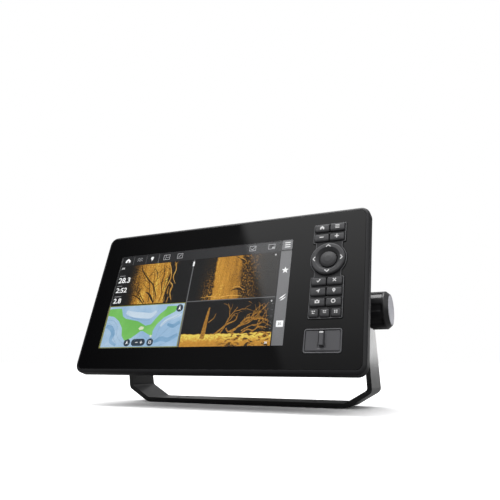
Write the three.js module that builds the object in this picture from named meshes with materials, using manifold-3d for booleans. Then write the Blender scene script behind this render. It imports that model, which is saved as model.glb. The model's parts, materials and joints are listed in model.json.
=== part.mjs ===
// A chartplotter display on a gimbal bracket, in millimetres, with +Z up.
// The origin is the centre of the underside of the bracket's base. +X is to the right; the screen faces -Y.
// Everything on the display head is drawn upright in the head's own frame and tilted with one group. In that
// frame X is across, Z is up, the origin is the tilt axis, and "depth" is measured back from the front plane.
import * as THREE from 'three';
import { mergeVertices } from 'three/addons/utils/BufferGeometryUtils.js';
import Module from 'manifold-3d';

const wasm = await Module();
wasm.setup();

// Bracket
const STRAP_THICKNESS = 4.5;
const STRAP_DEPTH = 40.6;
const ARM_INSIDE = 131.9;
const ARM_OUTSIDE = ARM_INSIDE + STRAP_THICKNESS;
const BASE_HALF = 111.5;
const BEND_HEIGHT = 14.4;
const ARM_END_RADIUS = 16.5;
const ARM_FOOT = 16;
const BASE_HOLE = { x: 78, y: 10, radius: 2.75 };
const AXLE_HOLE_RADIUS = STRAP_DEPTH / 9;

// Tilt axis and rest tilt of the head
const PIVOT_Y = -15.3;
const PIVOT_Z = 89.2;
const TILT_DEG = 17.1;
const FRONT_Y = -58.3;

// Case of the head
const CASE = { width: 300.1, height: 157.5, radius: 9, x: -1.2, z: 1.35 };
const EDGE_ROUND = 2.6;
const RIM_DEPTH = 10;
const FRONT_REAR = { width: 276.5, height: 134.2, radius: 10, depth: 26 };
const WALL = 2.5;
const GLASS = { width: 293.2, height: 150.6, radius: 6, front: 0.15, back: 1.65 };
const GLASS_RECESS = { width: 293.7, height: 151.1, radius: 6.2 };
const ADHESIVE = { width: 291.2, height: 148.6, radius: 5, front: 2.2, back: 2.6, clear: 1.2 };
const GAP = 0.3;
const FLOOR = { front: 2.8, back: 5 };

// Screen
const SCREEN_X = -25.4;
const LCD = { width: 205, height: 108, radius: 1, front: 2.2, back: 3.6 };
const BACKLIGHT = { width: 206, height: 112, radius: 1, front: 5.3, back: 7.1 };

// Keypad
const PAD_X = 112.4;
const PAD_HALF = 15.4;
const UPPER_BLOCK = { low: 44.2, high: 64.4 };
const LOWER_BLOCK = { low: -29.9, high: 9.7 };
const NECK_HALF = 12.6;
const BLOCK_RADIUS = 1.8;
const RING_Z = 27.2;
const RING_SURROUND = 17.1;
const RING_RADIUS = 15.8;
const RING_BORE = 8.5;
const BUTTON_RADIUS = 8;
const KEY = { height: 7.4, radius: 1.3, bottom: 1.7, proud: 2.6 };
const WINDOW_RADIUS = 1.4;
const SURROUND = { front: -0.8, back: 2.5 };
const KEYPAD_BOARD = { width: 33, height: 98.3, radius: 1.5, front: 5.3, back: 6.9 };
const TWO_KEYS = { width: 13.6, pitch: 14.5, count: 2 };
const THREE_KEYS = { width: 8.2, pitch: 9.95, count: 3 };
const KEY_ROWS = [
  { z: 59.5, names: ['key_home', 'key_menu'] },
  { z: 49.3, names: ['key_minus', 'key_plus'] },
  { z: 4.9, names: ['key_check', 'key_cancel'] },
  { z: -5.1, names: ['key_navigate', 'key_mark'] },
  { z: -15.1, names: ['key_camera', 'key_clock'] },
  { z: -25.1, names: ['key_view_1', 'key_view_2', 'key_view_3'] },
];

// Card door
const DOOR = { x: 111.4, z: -49.4, width: 30.5, height: 18.6, thickness: 2.4, barrel: 1.9 };
const BAY = { width: 33.5, height: 21.6, radius: 2.5, wall: 1.2, proud: 0.5, floor: 12.2, back: 13.6 };
const DOOR_AXIS_Z = DOOR.z - DOOR.height / 2 + DOOR.barrel;
const DOOR_BAR = { width: 4.2, height: 13.1, radius: 1.6, proud: 2.6, x: -0.6, z: 1.9 };
const SCOOP = { radius: 9, depth: -8, below: 0.6 };
const PIN_RADIUS = 0.75;
const NOSE = { width: 23.4, height: 10.4, rise: 1.5 };
const READER = { width: 27, height: 15, front: 13.9, back: 20 };
const CARD_SLOT = { width: 12, height: 1, rise: 2.4 };
const SEAL = { width: 28, height: 12.4, wall: 1.3, rise: 1.8, front: 2.7, back: 3.7 };

// Rear housing
const FLANGE = { width: 276, height: 133.7, radius: 10, front: 27.4, back: 30.4 };
const REAR_BOX = { width: 254, height: 116, radius: 12, back: 82, wall: 3, backWall: 5 };
const MAIN_BOARD = { width: 200, height: 96, radius: 2, front: 65.2, back: 66.8 };
const THERMAL_PAD = { width: 120, height: 60, radius: 1, front: 67.1, back: 68.3 };
const HEAT_SPREADER = { width: 200, height: 96, radius: 2, front: 68.6, back: 76.6 };
const FIN = { count: 17, pitch: 11, thickness: 2.4, height: 66, z: 17, back: 92 };
const SCREW_PLACES = [[-132.5, 44], [0, 62.8], [132.5, 44], [132.5, -44], [0, -62.8], [-132.5, -44]];
const SCREW = { shank: 1.45, hole: 1.8, head: 3.2, recess: 1.5, boss: 3.6, tip: 14, seat: 30.7 };
const GASKET = { front: 26.2, back: 27.2, pad: 3.4 };
const SOCKET_Z = -34;
const SOCKETS = [
  { name: 'power_socket', x: -90, pins: 3 },
  { name: 'sonar_socket', x: -50, pins: 7 },
  { name: 'network_socket', x: -10, pins: 5 },
  { name: 'bus_socket', x: 30, pins: 4 },
];
const SOCKET = {
  hole: 9,
  body: 8.6,
  flange: 11,
  collar: 9.5,
  mouth: 7.6,
  front: 77,
  floor: 80,
  seat: 82.3,
  flangeBack: 84.5,
  back: 92,
};
const CONTACT = { radius: 0.9, circle: 4.6, length: 4 };
const VENT = { x: 72, hole: 3.5, shank: 3.2, cap: 6 };

// Knobs
const PIVOT_BOSS = { radius: 10.5, bore: 7.3, inner: 112, outer: 126 };
const PIVOT_INSERT = { radius: 7, inner: 112.5, outer: 126.6 };
const FRICTION_WASHER = { radius: 16, inner: 127.3, outer: 131.6 };
const KNOB_WASHER = { radius: 11, inner: 136.7, outer: 137.9 };
const STUD = { radius: 4, inner: 114, outer: 150 };
const WASHER_BORE = 4.6;
const KNOB = { radius: 17.6, endRadius: 14.5, inner: 138.2, ridgesEnd: 151.8, shoulder: 153, end: 156.7 };
const FLUTE = { count: 8, depth: 1.2, phaseDeg: 12.7 };
const FLUTE_SHAPE = [[-11, 0], [-7.5, 0.8], [0, 1], [7.5, 0.8], [11, 0], [16.75, 0], [22.5, 0], [28.25, 0]];
const KNOB_CAP = { radius: 13.8, start: 154.3, end: 157, chamfer: 0.6 };

const QUARTER = Math.PI / 2;

// ---------- solids ----------

function toSolid(geometry) {
  const bare = geometry.clone();
  bare.deleteAttribute('normal');
  bare.deleteAttribute('uv');
  const merged = mergeVertices(bare, 1e-4);
  const corners = merged.index.array;
  const kept = [];
  for (let i = 0; i < corners.length; i += 3) {
    const [a, b, c] = [corners[i], corners[i + 1], corners[i + 2]];
    if (a !== b && b !== c && c !== a) kept.push(a, b, c);
  }
  const vertProperties = new Float32Array(merged.attributes.position.array);
  return new wasm.Manifold(new wasm.Mesh({ numProp: 3, vertProperties, triVerts: new Uint32Array(kept) }));
}

function toGeometry(solid) {
  const mesh = solid.getMesh();
  const geometry = new THREE.BufferGeometry();
  geometry.setAttribute('position', new THREE.BufferAttribute(mesh.vertProperties, 3));
  geometry.setIndex(new THREE.BufferAttribute(mesh.triVerts, 1));
  geometry.computeVertexNormals();
  return geometry;
}

function join(first, ...others) {
  return toGeometry(others.reduce((solid, other) => solid.add(toSolid(other)), toSolid(first)));
}

function cut(first, ...tools) {
  return toGeometry(tools.reduce((solid, tool) => solid.subtract(toSolid(tool)), toSolid(first)));
}

function common(first, second) {
  return toGeometry(toSolid(first).intersect(toSolid(second)));
}

// ---------- shapes in the head's frame ----------

// Corner points of a rounded rectangle, anticlockwise seen from the front.
function roundedRing({ width, height, radius }, perCorner) {
  const points = [];
  const corners = [[1, 1], [-1, 1], [-1, -1], [1, -1]];
  corners.forEach(([sideX, sideZ], corner) => {
    for (let step = 0; step <= perCorner; step += 1) {
      const angle = QUARTER * (corner + step / perCorner);
      const x = sideX * (width / 2 - radius) + radius * Math.cos(angle);
      const z = sideZ * (height / 2 - radius) + radius * Math.sin(angle);
      points.push([x, z]);
    }
  });
  return points;
}

// A closed body through rounded rectangles, listed from front to back. A section may have its own x and z.
function loft(sections, { x = 0, z = 0, perCorner = 3 } = {}) {
  const positions = [];
  const index = [];
  const count = 4 * (perCorner + 1);
  for (const section of sections) {
    const { x: sectionX = 0, z: sectionZ = 0, depth } = section;
    for (const [px, pz] of roundedRing(section, perCorner)) {
      positions.push(x + sectionX + px, FRONT_Y + depth, z + sectionZ + pz);
    }
  }
  for (let layer = 0; layer < sections.length - 1; layer += 1) {
    for (let i = 0; i < count; i += 1) {
      const [a, b] = [layer * count + i, layer * count + ((i + 1) % count)];
      index.push(a, a + count, b + count, a, b + count, b);
    }
  }
  const last = (sections.length - 1) * count;
  for (let i = 1; i < count - 1; i += 1) {
    index.push(0, i, i + 1, last, last + i + 1, last + i);
  }
  const geometry = new THREE.BufferGeometry();
  geometry.setAttribute('position', new THREE.Float32BufferAttribute(positions, 3));
  geometry.setIndex(index);
  geometry.computeVertexNormals();
  return geometry;
}

function plate(width, height, radius, front, back, place) {
  const outline = { width, height, radius };
  return loft([{ ...outline, depth: front }, { ...outline, depth: back }], place);
}

function slab({ width, height, radius, front, back }, place) {
  return plate(width, height, radius, front, back, place);
}

// A turned body about an axis that runs front to back. The profile holds [radius, depth] pairs.
function turned(profile, { x = 0, z = 0, segments = 24 } = {}) {
  const points = profile.map(([radius, depth]) => new THREE.Vector2(radius, FRONT_Y + depth));
  return new THREE.LatheGeometry(points, segments).translate(x, 0, z);
}

function disc(radius, front, back, place) {
  return turned([[0, front], [radius, front], [radius, back], [0, back]], place);
}

// A turned body about the tilt axis. The profile holds [radius, distance from the middle] pairs.
function turnedAcross(profile, side, segments = 20) {
  const points = profile.map(([radius, along]) => new THREE.Vector2(radius, along));
  return new THREE.LatheGeometry(points, segments).rotateZ(-side * QUARTER);
}

function discAcross(radius, inner, outer, side, segments) {
  return turnedAcross([[0, inner], [radius, inner], [radius, outer], [0, outer]], side, segments);
}

function washerAcross({ radius, inner, outer }, side) {
  const bore = WASHER_BORE;
  return turnedAcross([[bore, inner], [radius, inner], [radius, outer], [bore, outer], [bore, inner]], side);
}

function grown(outline, by) {
  const { width, height, radius } = outline;
  return { ...outline, width: width + 2 * by, height: height + 2 * by, radius: radius + by };
}

// ---------- scene ----------

const model = new THREE.Group();
const head = new THREE.Group();
head.position.set(0, PIVOT_Y, PIVOT_Z);
head.rotation.x = -THREE.MathUtils.degToRad(TILT_DEG);
model.add(head);

const LOOKS = {
  strap: [0x26262a, 0.45, 0.3],
  casePlastic: [0x2b2b2e, 0.5, 0],
  glass: [0x0a0a0c, 0.06, 0],
  screen: [0x2d4f74, 0.3, 0],
  whitePlastic: [0xd8d8d4, 0.6, 0],
  board: [0x1f5a35, 0.6, 0],
  keyRubber: [0x4a4a4c, 0.6, 0],
  softRubber: [0x1b1b1c, 0.85, 0],
  cast: [0x303033, 0.5, 0.6],
  bareMetal: [0xb9bcc0, 0.3, 0.9],
  brass: [0xb08d4a, 0.35, 0.9],
  door: [0x58585a, 0.55, 0],
  knob: [0x17171a, 0.55, 0],
  knobCap: [0x9b9ba3, 0.35, 0.5],
};

function add(group, name, geometry, look) {
  const [color, roughness, metalness] = LOOKS[look];
  const mesh = new THREE.Mesh(geometry, new THREE.MeshStandardMaterial({ color, roughness, metalness }));
  mesh.name = name;
  group.add(mesh);
}

// ---------- bracket ----------

// A closed outline whose corners are rounded. Each corner is [x, y, length trimmed off each side].
function smoothShape(corners) {
  const shape = new THREE.Shape();
  const points = corners.map(([x, y]) => new THREE.Vector2(x, y));
  const towards = (from, to, length) => from.clone().add(to.clone().sub(from).setLength(length));
  corners.forEach(([, , trim], i) => {
    const before = points[(i + points.length - 1) % points.length];
    const after = points[(i + 1) % points.length];
    const start = trim ? towards(points[i], before, trim) : points[i];
    if (i === 0) shape.moveTo(start.x, start.y);
    else shape.lineTo(start.x, start.y);
    if (!trim) return;
    const end = towards(points[i], after, trim);
    shape.quadraticCurveTo(points[i].x, points[i].y, end.x, end.y);
  });
  shape.closePath();
  return shape;
}

// Where the inside of the strap turns, for a bend between two outer corners.
function insideBends() {
  const slope = new THREE.Vector2(ARM_OUTSIDE - BASE_HALF, BEND_HEIGHT).normalize();
  const baseTurn = STRAP_THICKNESS * ((1 - slope.x) / slope.y);
  const armTurn = STRAP_THICKNESS * ((1 - slope.y) / slope.x);
  return { base: BASE_HALF - baseTurn, arm: BEND_HEIGHT + armTurn };
}

function strapFront(top) {
  const inside = insideBends();
  const [outerTrim, innerTrim] = [4, 2];
  const right = [
    [BASE_HALF, 0, outerTrim],
    [ARM_OUTSIDE, BEND_HEIGHT, outerTrim],
    [ARM_OUTSIDE, top, 0],
    [ARM_INSIDE, top, 0],
    [ARM_INSIDE, inside.arm, innerTrim],
    [inside.base, STRAP_THICKNESS, innerTrim],
  ];
  const left = right.map(([x, z, trim]) => [-x, z, trim]).reverse();
  return smoothShape([...right, ...left]);
}

function strapSide() {
  const half = STRAP_DEPTH / 2;
  const shape = new THREE.Shape();
  shape.moveTo(-half, -1);
  shape.lineTo(half, -1);
  shape.lineTo(half, ARM_FOOT);
  shape.lineTo(PIVOT_Y + ARM_END_RADIUS, PIVOT_Z);
  shape.absarc(PIVOT_Y, PIVOT_Z, ARM_END_RADIUS, 0, Math.PI);
  shape.lineTo(-half, ARM_FOOT);
  shape.closePath();
  return shape;
}

function makeBracket() {
  const [span, reach] = [100, 160];
  const options = { bevelEnabled: false, curveSegments: 6 };
  const top = PIVOT_Z + 2 * ARM_END_RADIUS;
  const front = new THREE.ExtrudeGeometry(strapFront(top), { ...options, depth: span });
  front.rotateX(QUARTER).translate(0, span / 2, 0);
  const side = new THREE.ExtrudeGeometry(strapSide(), { ...options, curveSegments: 20, depth: 2 * reach });
  side.rotateX(QUARTER).rotateZ(QUARTER).translate(-reach, 0, 0);
  const holes = [];
  for (const x of [-BASE_HOLE.x, BASE_HOLE.x]) {
    for (const y of [-BASE_HOLE.y, BASE_HOLE.y]) {
      const { radius } = BASE_HOLE;
      const hole = new THREE.CylinderGeometry(radius, radius, 4 * STRAP_THICKNESS, 14);
      holes.push(hole.rotateX(QUARTER).translate(x, y, 0));
    }
  }
  const axle = new THREE.CylinderGeometry(AXLE_HOLE_RADIUS, AXLE_HOLE_RADIUS, 2 * reach, 20);
  axle.rotateZ(QUARTER).translate(0, PIVOT_Y, PIVOT_Z);
  return cut(common(front, side), ...holes, axle);
}

add(model, 'gimbal_bracket', makeBracket(), 'strap');

// ---------- front housing, glass and screen ----------

function caseOuter() {
  const sections = [];
  for (const degrees of [0, 30, 60, 90]) {
    const angle = THREE.MathUtils.degToRad(degrees);
    const inset = EDGE_ROUND * (1 - Math.sin(angle));
    sections.push({ ...grown(CASE, -inset), depth: EDGE_ROUND * (1 - Math.cos(angle)) });
  }
  sections.push({ ...CASE, depth: RIM_DEPTH }, FRONT_REAR);
  return loft(sections, { perCorner: 5 });
}

function caseInner() {
  const past = 1;
  const perDepth = (CASE.width - FRONT_REAR.width) / (FRONT_REAR.depth - RIM_DEPTH);
  const end = grown(FRONT_REAR, -WALL - (past * perDepth) / 2);
  return loft([
    { ...grown(CASE, -WALL), depth: FLOOR.back },
    { ...grown(CASE, -WALL), depth: RIM_DEPTH },
    { ...end, depth: FRONT_REAR.depth + past },
  ]);
}

function keypadOutline(by, front, back) {
  const width = 2 * (PAD_HALF + by);
  const block = ({ low, high }) => {
    const place = { x: PAD_X, z: (low + high) / 2 };
    return plate(width, high - low + 2 * by, BLOCK_RADIUS + by, front, back, place);
  };
  const neckHeight = UPPER_BLOCK.low - LOWER_BLOCK.high + 8;
  const neckPlace = { x: PAD_X, z: (UPPER_BLOCK.low + LOWER_BLOCK.high) / 2 };
  const neck = plate(2 * (NECK_HALF + by), neckHeight, 1, front, back, neckPlace);
  const circle = disc(RING_SURROUND + by, front, back, { x: PAD_X, z: RING_Z, segments: 32 });
  return join(block(UPPER_BLOCK), neck, circle, block(LOWER_BLOCK));
}

const PAD_MIDDLE = { x: PAD_X, z: (UPPER_BLOCK.high + LOWER_BLOCK.low) / 2 };
const PAD_HEIGHT = UPPER_BLOCK.high - LOWER_BLOCK.low;
const PAD_OPENING = { width: 2 * PAD_HALF - 1.2, height: PAD_HEIGHT - 1.2, radius: 1.5 };
const DOOR_MIDDLE = { x: DOOR.x, z: DOOR.z };
const CASE_MIDDLE = { x: CASE.x, z: CASE.z, perCorner: 5 };

function bayOutline(by, front, back) {
  return slab({ ...grown(BAY, by), front, back }, DOOR_MIDDLE);
}

function makeFrontHousing() {
  const screen = { x: SCREEN_X };
  const bosses = SCREW_PLACES.map(([x, z]) => {
    return disc(SCREW.boss, 4, FRONT_REAR.depth, { x, z, segments: 16 });
  });
  const bores = SCREW_PLACES.map(([x, z]) => disc(SCREW.hole, 12, 30, { x, z, segments: 10 }));
  const shell = cut(
    caseOuter(),
    slab({ ...GLASS_RECESS, front: -1, back: FLOOR.front }, CASE_MIDDLE),
    caseInner(),
    plate(LCD.width + 1.4, LCD.height + 1.4, 1.5, 1, 7, screen),
    slab({ ...PAD_OPENING, front: 1, back: 7 }, PAD_MIDDLE),
    bayOutline(GAP, 1, 7),
  );
  const withBosses = join(shell, ...bosses);
  const pastEnd = plate(FLANGE.width, FLANGE.height, 10, FRONT_REAR.depth, 40);
  return cut(withBosses, ...bores, pastEnd);
}

function makeGlass() {
  return cut(slab(GLASS, CASE_MIDDLE), keypadOutline(GAP, -1, 4), bayOutline(GAP, -1, 4));
}

function makeAdhesive() {
  const { clear } = ADHESIVE;
  const sheet = slab(ADHESIVE, { ...CASE_MIDDLE, perCorner: 3 });
  const keypad = plate(2 * (RING_SURROUND + clear), PAD_HEIGHT + 2 * clear, 2, 1, 4, PAD_MIDDLE);
  const screen = plate(LCD.width + 2 * clear, LCD.height + 2 * clear, 2, 1, 4, { x: SCREEN_X });
  return cut(sheet, screen, keypad, bayOutline(clear, 1, 4));
}

add(head, 'front_housing', makeFrontHousing(), 'casePlastic');
add(head, 'cover_glass', makeGlass(), 'glass');
add(head, 'glass_adhesive', makeAdhesive(), 'softRubber');
add(head, 'lcd_panel', slab(LCD, { x: SCREEN_X }), 'screen');
add(head, 'lcd_backlight', slab(BACKLIGHT, { x: SCREEN_X }), 'whitePlastic');

// ---------- keypad ----------

function rowWindow({ z, names }) {
  const { width, pitch, count } = names.length === 2 ? TWO_KEYS : THREE_KEYS;
  const span = width + pitch * (count - 1) + 2 * GAP;
  return plate(span, KEY.height + 2 * GAP, WINDOW_RADIUS, -3, 5, { x: PAD_X, z });
}

function makeSurround() {
  const window = disc(RING_RADIUS + 0.4, -3, 5, { x: PAD_X, z: RING_Z, segments: 32 });
  return cut(keypadOutline(0, SURROUND.front, SURROUND.back), window, ...KEY_ROWS.map(rowWindow));
}

add(head, 'keypad_surround', makeSurround(), 'keyRubber');
const membrane = slab({ ...grown(PAD_OPENING, -GAP), ...FLOOR }, PAD_MIDDLE);
add(head, 'keypad_membrane', membrane, 'softRubber');
add(head, 'keypad_board', slab(KEYPAD_BOARD, { x: PAD_X - 1, z: PAD_MIDDLE.z }), 'board');

// A key cap whose lower side slopes more than the others.
function makeKey(width, place) {
  const base = { width, height: KEY.height, radius: KEY.radius };
  return loft([
    { ...grown(base, -0.8), height: KEY.height - 2.1, z: 0.35, depth: -KEY.proud },
    { ...grown(base, -0.35), height: KEY.height - 1.2, z: 0.2, depth: 0.4 - KEY.proud },
    { ...base, depth: 1.4 - KEY.proud },
    { ...base, depth: KEY.bottom },
  ], place);
}

for (const { z, names } of KEY_ROWS) {
  const { width, pitch, count } = names.length === 2 ? TWO_KEYS : THREE_KEYS;
  names.forEach((name, column) => {
    const x = PAD_X + pitch * (column - (count - 1) / 2);
    add(head, name, makeKey(width, { x, z }), 'keyRubber');
  });
}

const RING_PLACE = { x: PAD_X, z: RING_Z, segments: 32 };
const arrowProfile = [
  [RING_BORE, 1], [RING_RADIUS, 1], [RING_RADIUS, -1.3], [15.3, -2.6], [14.2, -3.3], [12.2, -3.4],
  [10.5, -2.8], [RING_BORE, -0.9], [RING_BORE, 1],
];
add(head, 'arrow_ring', turned(arrowProfile.reverse(), RING_PLACE), 'keyRubber');
const pivotProfile = [[RING_BORE, 1.85], [11, 1.85], [11, 2.2], [RING_BORE, 2.2], [RING_BORE, 1.85]];
add(head, 'arrow_pivot_plate', turned(pivotProfile, { ...RING_PLACE, segments: 20 }), 'bareMetal');
const buttonProfile = [
  [0, KEY.bottom], [BUTTON_RADIUS, KEY.bottom], [BUTTON_RADIUS, -1.3], [7.4, -2.4], [5.4, -3.1],
  [2.8, -3.4], [0, -3.5],
];
add(head, 'centre_button', turned(buttonProfile.reverse(), { ...RING_PLACE, segments: 28 }), 'keyRubber');

// ---------- card door ----------

function acrossX(radius, length, segments = 14) {
  const rod = new THREE.CylinderGeometry(radius, radius, length, segments).rotateZ(QUARTER);
  return rod.translate(DOOR.x, FRONT_Y + DOOR.barrel, DOOR_AXIS_Z);
}

const NOSE_PLACE = { x: DOOR.x, z: DOOR.z + NOSE.rise };

function makeBay() {
  const inner = grown(BAY, -BAY.wall);
  return cut(
    bayOutline(0, -BAY.proud, BAY.back),
    plate(inner.width, inner.height, 0.6, -3, BAY.floor, DOOR_MIDDLE),
    plate(NOSE.width + 2 * GAP, NOSE.height + 2 * GAP, 0.8, 8, 20, NOSE_PLACE),
    acrossX(PIN_RADIUS + GAP, BAY.width + 4),
  );
}

function makeDoor() {
  const barPlace = { x: DOOR.x + DOOR_BAR.x, z: DOOR.z + DOOR_BAR.z };
  const bar = { ...DOOR_BAR, x: 0, z: 0 };
  const panelHeight = DOOR.height - DOOR.barrel;
  const panel = plate(DOOR.width, panelHeight, 1.2, 0, DOOR.thickness, {
    x: DOOR.x,
    z: DOOR.z + DOOR.barrel / 2,
  });
  const grip = loft([
    { ...grown(bar, -0.6), depth: -bar.proud },
    { ...grown(bar, -0.15), depth: 0.5 - bar.proud },
    { ...bar, depth: -1.2 },
    { ...bar, depth: 1 },
  ], barPlace);
  const scoop = new THREE.SphereGeometry(SCOOP.radius, 28, 20);
  scoop.translate(barPlace.x, FRONT_Y + SCOOP.depth, barPlace.z - bar.height / 2 - SCOOP.below);
  const hinged = join(cut(panel, scoop), acrossX(DOOR.barrel, DOOR.width, 20));
  return join(cut(hinged, acrossX(PIN_RADIUS + GAP, 60)), grip);
}

function makeReader() {
  const body = slab({ ...READER, radius: 1 }, NOSE_PLACE);
  const nose = plate(NOSE.width, NOSE.height, 0.5, BAY.floor - GAP, READER.front + 0.6, NOSE_PLACE);
  const slots = [-CARD_SLOT.rise, CARD_SLOT.rise].map((rise) => {
    return plate(CARD_SLOT.width, CARD_SLOT.height, 0.2, 5, 18, { x: DOOR.x, z: NOSE_PLACE.z + rise });
  });
  return cut(join(body, nose), ...slots);
}

function makeSeal() {
  const place = { x: DOOR.x, z: DOOR.z + SEAL.rise };
  const inside = { width: SEAL.width - 2 * SEAL.wall, height: SEAL.height - 2 * SEAL.wall, radius: 0.6 };
  return cut(slab({ ...SEAL, radius: 1 }, place), slab({ ...inside, front: 2, back: 5 }, place));
}

add(head, 'card_bay', makeBay(), 'door');
add(head, 'card_reader', makeReader(), 'softRubber');
add(head, 'card_door_pin', acrossX(PIN_RADIUS, BAY.width - 0.4, 12), 'bareMetal');
add(head, 'card_door', makeDoor(), 'door');
add(head, 'card_door_seal', makeSeal(), 'softRubber');

// ---------- rear housing and what it holds ----------

function makeRearHousing() {
  const { width, height, radius, back, wall, backWall } = REAR_BOX;
  const round = 4;
  const body = loft([
    { ...REAR_BOX, depth: FLANGE.front + 1 },
    { ...REAR_BOX, depth: back - round },
    { ...grown(REAR_BOX, -1.2), depth: back - 1.2 },
    { ...grown(REAR_BOX, -round), depth: back },
  ]);
  const flange = plate(FLANGE.width, FLANGE.height, FLANGE.radius, FLANGE.front, FLANGE.back);
  const fins = [];
  for (let i = 0; i < FIN.count; i += 1) {
    const x = FIN.pitch * (i - (FIN.count - 1) / 2);
    fins.push(plate(FIN.thickness, FIN.height, 0.6, back - 1, FIN.back, { x, z: FIN.z, perCorner: 1 }));
  }
  const cavity = plate(width - 2 * wall, height - 2 * wall, radius - wall, 20, back - backWall);
  const { radius: bossRadius, bore, inner, outer } = PIVOT_BOSS;
  const bosses = [-1, 1].map((side) => discAcross(bossRadius, inner, outer, side, 20));
  const bores = [-1, 1].map((side) => discAcross(bore, 100, 130, side, 20));
  const screwHoles = SCREW_PLACES.map(([x, z]) => disc(SCREW.hole, 20, 40, { x, z, segments: 10 }));
  const socketHoles = SOCKETS.map(({ x }) => disc(SOCKET.hole, 70, 90, { x, z: SOCKET_Z, segments: 24 }));
  const vent = disc(VENT.hole, 70, 90, { x: VENT.x, z: SOCKET_Z, segments: 14 });
  const shell = cut(join(body, flange, ...fins), cavity);
  return cut(join(shell, ...bosses), ...bores, ...screwHoles, ...socketHoles, vent);
}

function makeGasket() {
  const { front, back, pad } = GASKET;
  const sheet = slab({ ...FLANGE, front, back });
  const inside = slab({ ...grown(FRONT_REAR, -WALL - 1), front: 20, back: 30 });
  const pads = SCREW_PLACES.map(([x, z]) => disc(pad, front, back, { x, z, segments: 14 }));
  const holes = SCREW_PLACES.map(([x, z]) => disc(SCREW.hole, 20, 30, { x, z, segments: 10 }));
  return cut(join(cut(sheet, inside), ...pads), ...holes);
}

function makeScrew([x, z]) {
  const { shank, head: top, recess, tip, seat } = SCREW;
  const profile = [
    [0, tip], [shank, tip + 0.6], [shank, seat], [top, seat], [top, seat + 1.3], [top - 0.7, seat + 2],
    [recess, seat + 2], [recess, seat + 0.7], [0, seat + 0.7],
  ];
  return turned(profile, { x, z, segments: 10 });
}

function makeSocket({ x, pins }) {
  const { body, flange, collar, mouth, front, floor, seat, flangeBack, back } = SOCKET;
  const shell = turned([
    [0, front], [body, front], [body, seat], [flange, seat], [flange, flangeBack], [collar, flangeBack],
    [collar, back], [mouth, back], [mouth, floor], [0, floor],
  ], { x, z: SOCKET_Z, segments: 20 });
  const contacts = [];
  for (let i = 0; i < pins; i += 1) {
    const angle = (2 * Math.PI * (i + 0.25)) / pins;
    const [acrossBy, upBy] = [CONTACT.circle * Math.cos(angle), CONTACT.circle * Math.sin(angle)];
    const place = { x: x + acrossBy, z: SOCKET_Z + upBy, segments: 6 };
    contacts.push(disc(CONTACT.radius, floor - 1, floor + CONTACT.length, place));
  }
  return join(shell, ...contacts);
}

add(head, 'rear_housing', makeRearHousing(), 'cast');
add(head, 'housing_gasket', makeGasket(), 'softRubber');
SCREW_PLACES.forEach((place, i) => add(head, `rear_screw_${i + 1}`, makeScrew(place), 'bareMetal'));
SOCKETS.forEach((socket) => add(head, socket.name, makeSocket(socket), 'softRubber'));
const ventProfile = [
  [0, 78], [VENT.shank, 78], [VENT.shank, 82.3], [VENT.cap, 82.3], [VENT.cap, 83.6], [VENT.cap - 1.4, 84.6],
  [0, 84.6],
];
add(head, 'vent_plug', turned(ventProfile, { x: VENT.x, z: SOCKET_Z, segments: 18 }), 'softRubber');
add(head, 'main_board', slab(MAIN_BOARD), 'board');
add(head, 'thermal_pad', slab(THERMAL_PAD), 'softRubber');
add(head, 'heat_spreader', slab(HEAT_SPREADER), 'cast');

// ---------- pivots and knobs ----------

function flutedOutline(side) {
  const points = [];
  for (let flute = 0; flute < FLUTE.count; flute += 1) {
    for (const [degrees, share] of FLUTE_SHAPE) {
      const turn = (360 * flute) / FLUTE.count + degrees + side * FLUTE.phaseDeg;
      const angle = THREE.MathUtils.degToRad(turn);
      const radius = KNOB.radius - share * FLUTE.depth;
      points.push(new THREE.Vector2(radius * Math.cos(angle), radius * Math.sin(angle)));
    }
  }
  return new THREE.Shape(points);
}

function makeGrip(side) {
  const { radius, endRadius, inner, ridgesEnd, shoulder, end } = KNOB;
  const options = { depth: ridgesEnd - inner, bevelEnabled: false };
  const ridges = new THREE.ExtrudeGeometry(flutedOutline(side), options);
  ridges.translate(0, 0, inner).rotateY(side * QUARTER);
  const collar = turnedAcross([
    [0, ridgesEnd - 1], [radius, ridgesEnd - 1], [radius, shoulder], [endRadius, end], [0, end],
  ], side, 40);
  const studBore = discAcross(STUD.radius + GAP, 120, STUD.outer + GAP, side, 20);
  const capSeat = discAcross(KNOB_CAP.radius + GAP, KNOB_CAP.start - GAP, end + 2, side, 32);
  return cut(join(ridges, collar), studBore, capSeat);
}

function makeCap(side) {
  const { radius, start, end, chamfer } = KNOB_CAP;
  const profile = [[0, start], [radius, start], [radius, end - chamfer], [radius - chamfer, end], [0, end]];
  return turnedAcross(profile, side, 32);
}

for (const [label, side] of [['left', -1], ['right', 1]]) {
  add(head, `${label}_pivot_insert`, washerAcross(PIVOT_INSERT, side), 'brass');
  add(head, `${label}_friction_washer`, washerAcross(FRICTION_WASHER, side), 'softRubber');
  add(head, `${label}_knob_washer`, washerAcross(KNOB_WASHER, side), 'bareMetal');
  add(head, `${label}_knob_stud`, discAcross(STUD.radius, STUD.inner, STUD.outer, side, 14), 'bareMetal');
  add(head, `${label}_knob_grip`, makeGrip(side), 'knob');
  add(head, `${label}_knob_cap`, makeCap(side), 'knobCap');
}

export default model;
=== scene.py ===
import json
import math
import random

import bmesh
import bpy
from mathutils import Matrix, Vector


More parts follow.
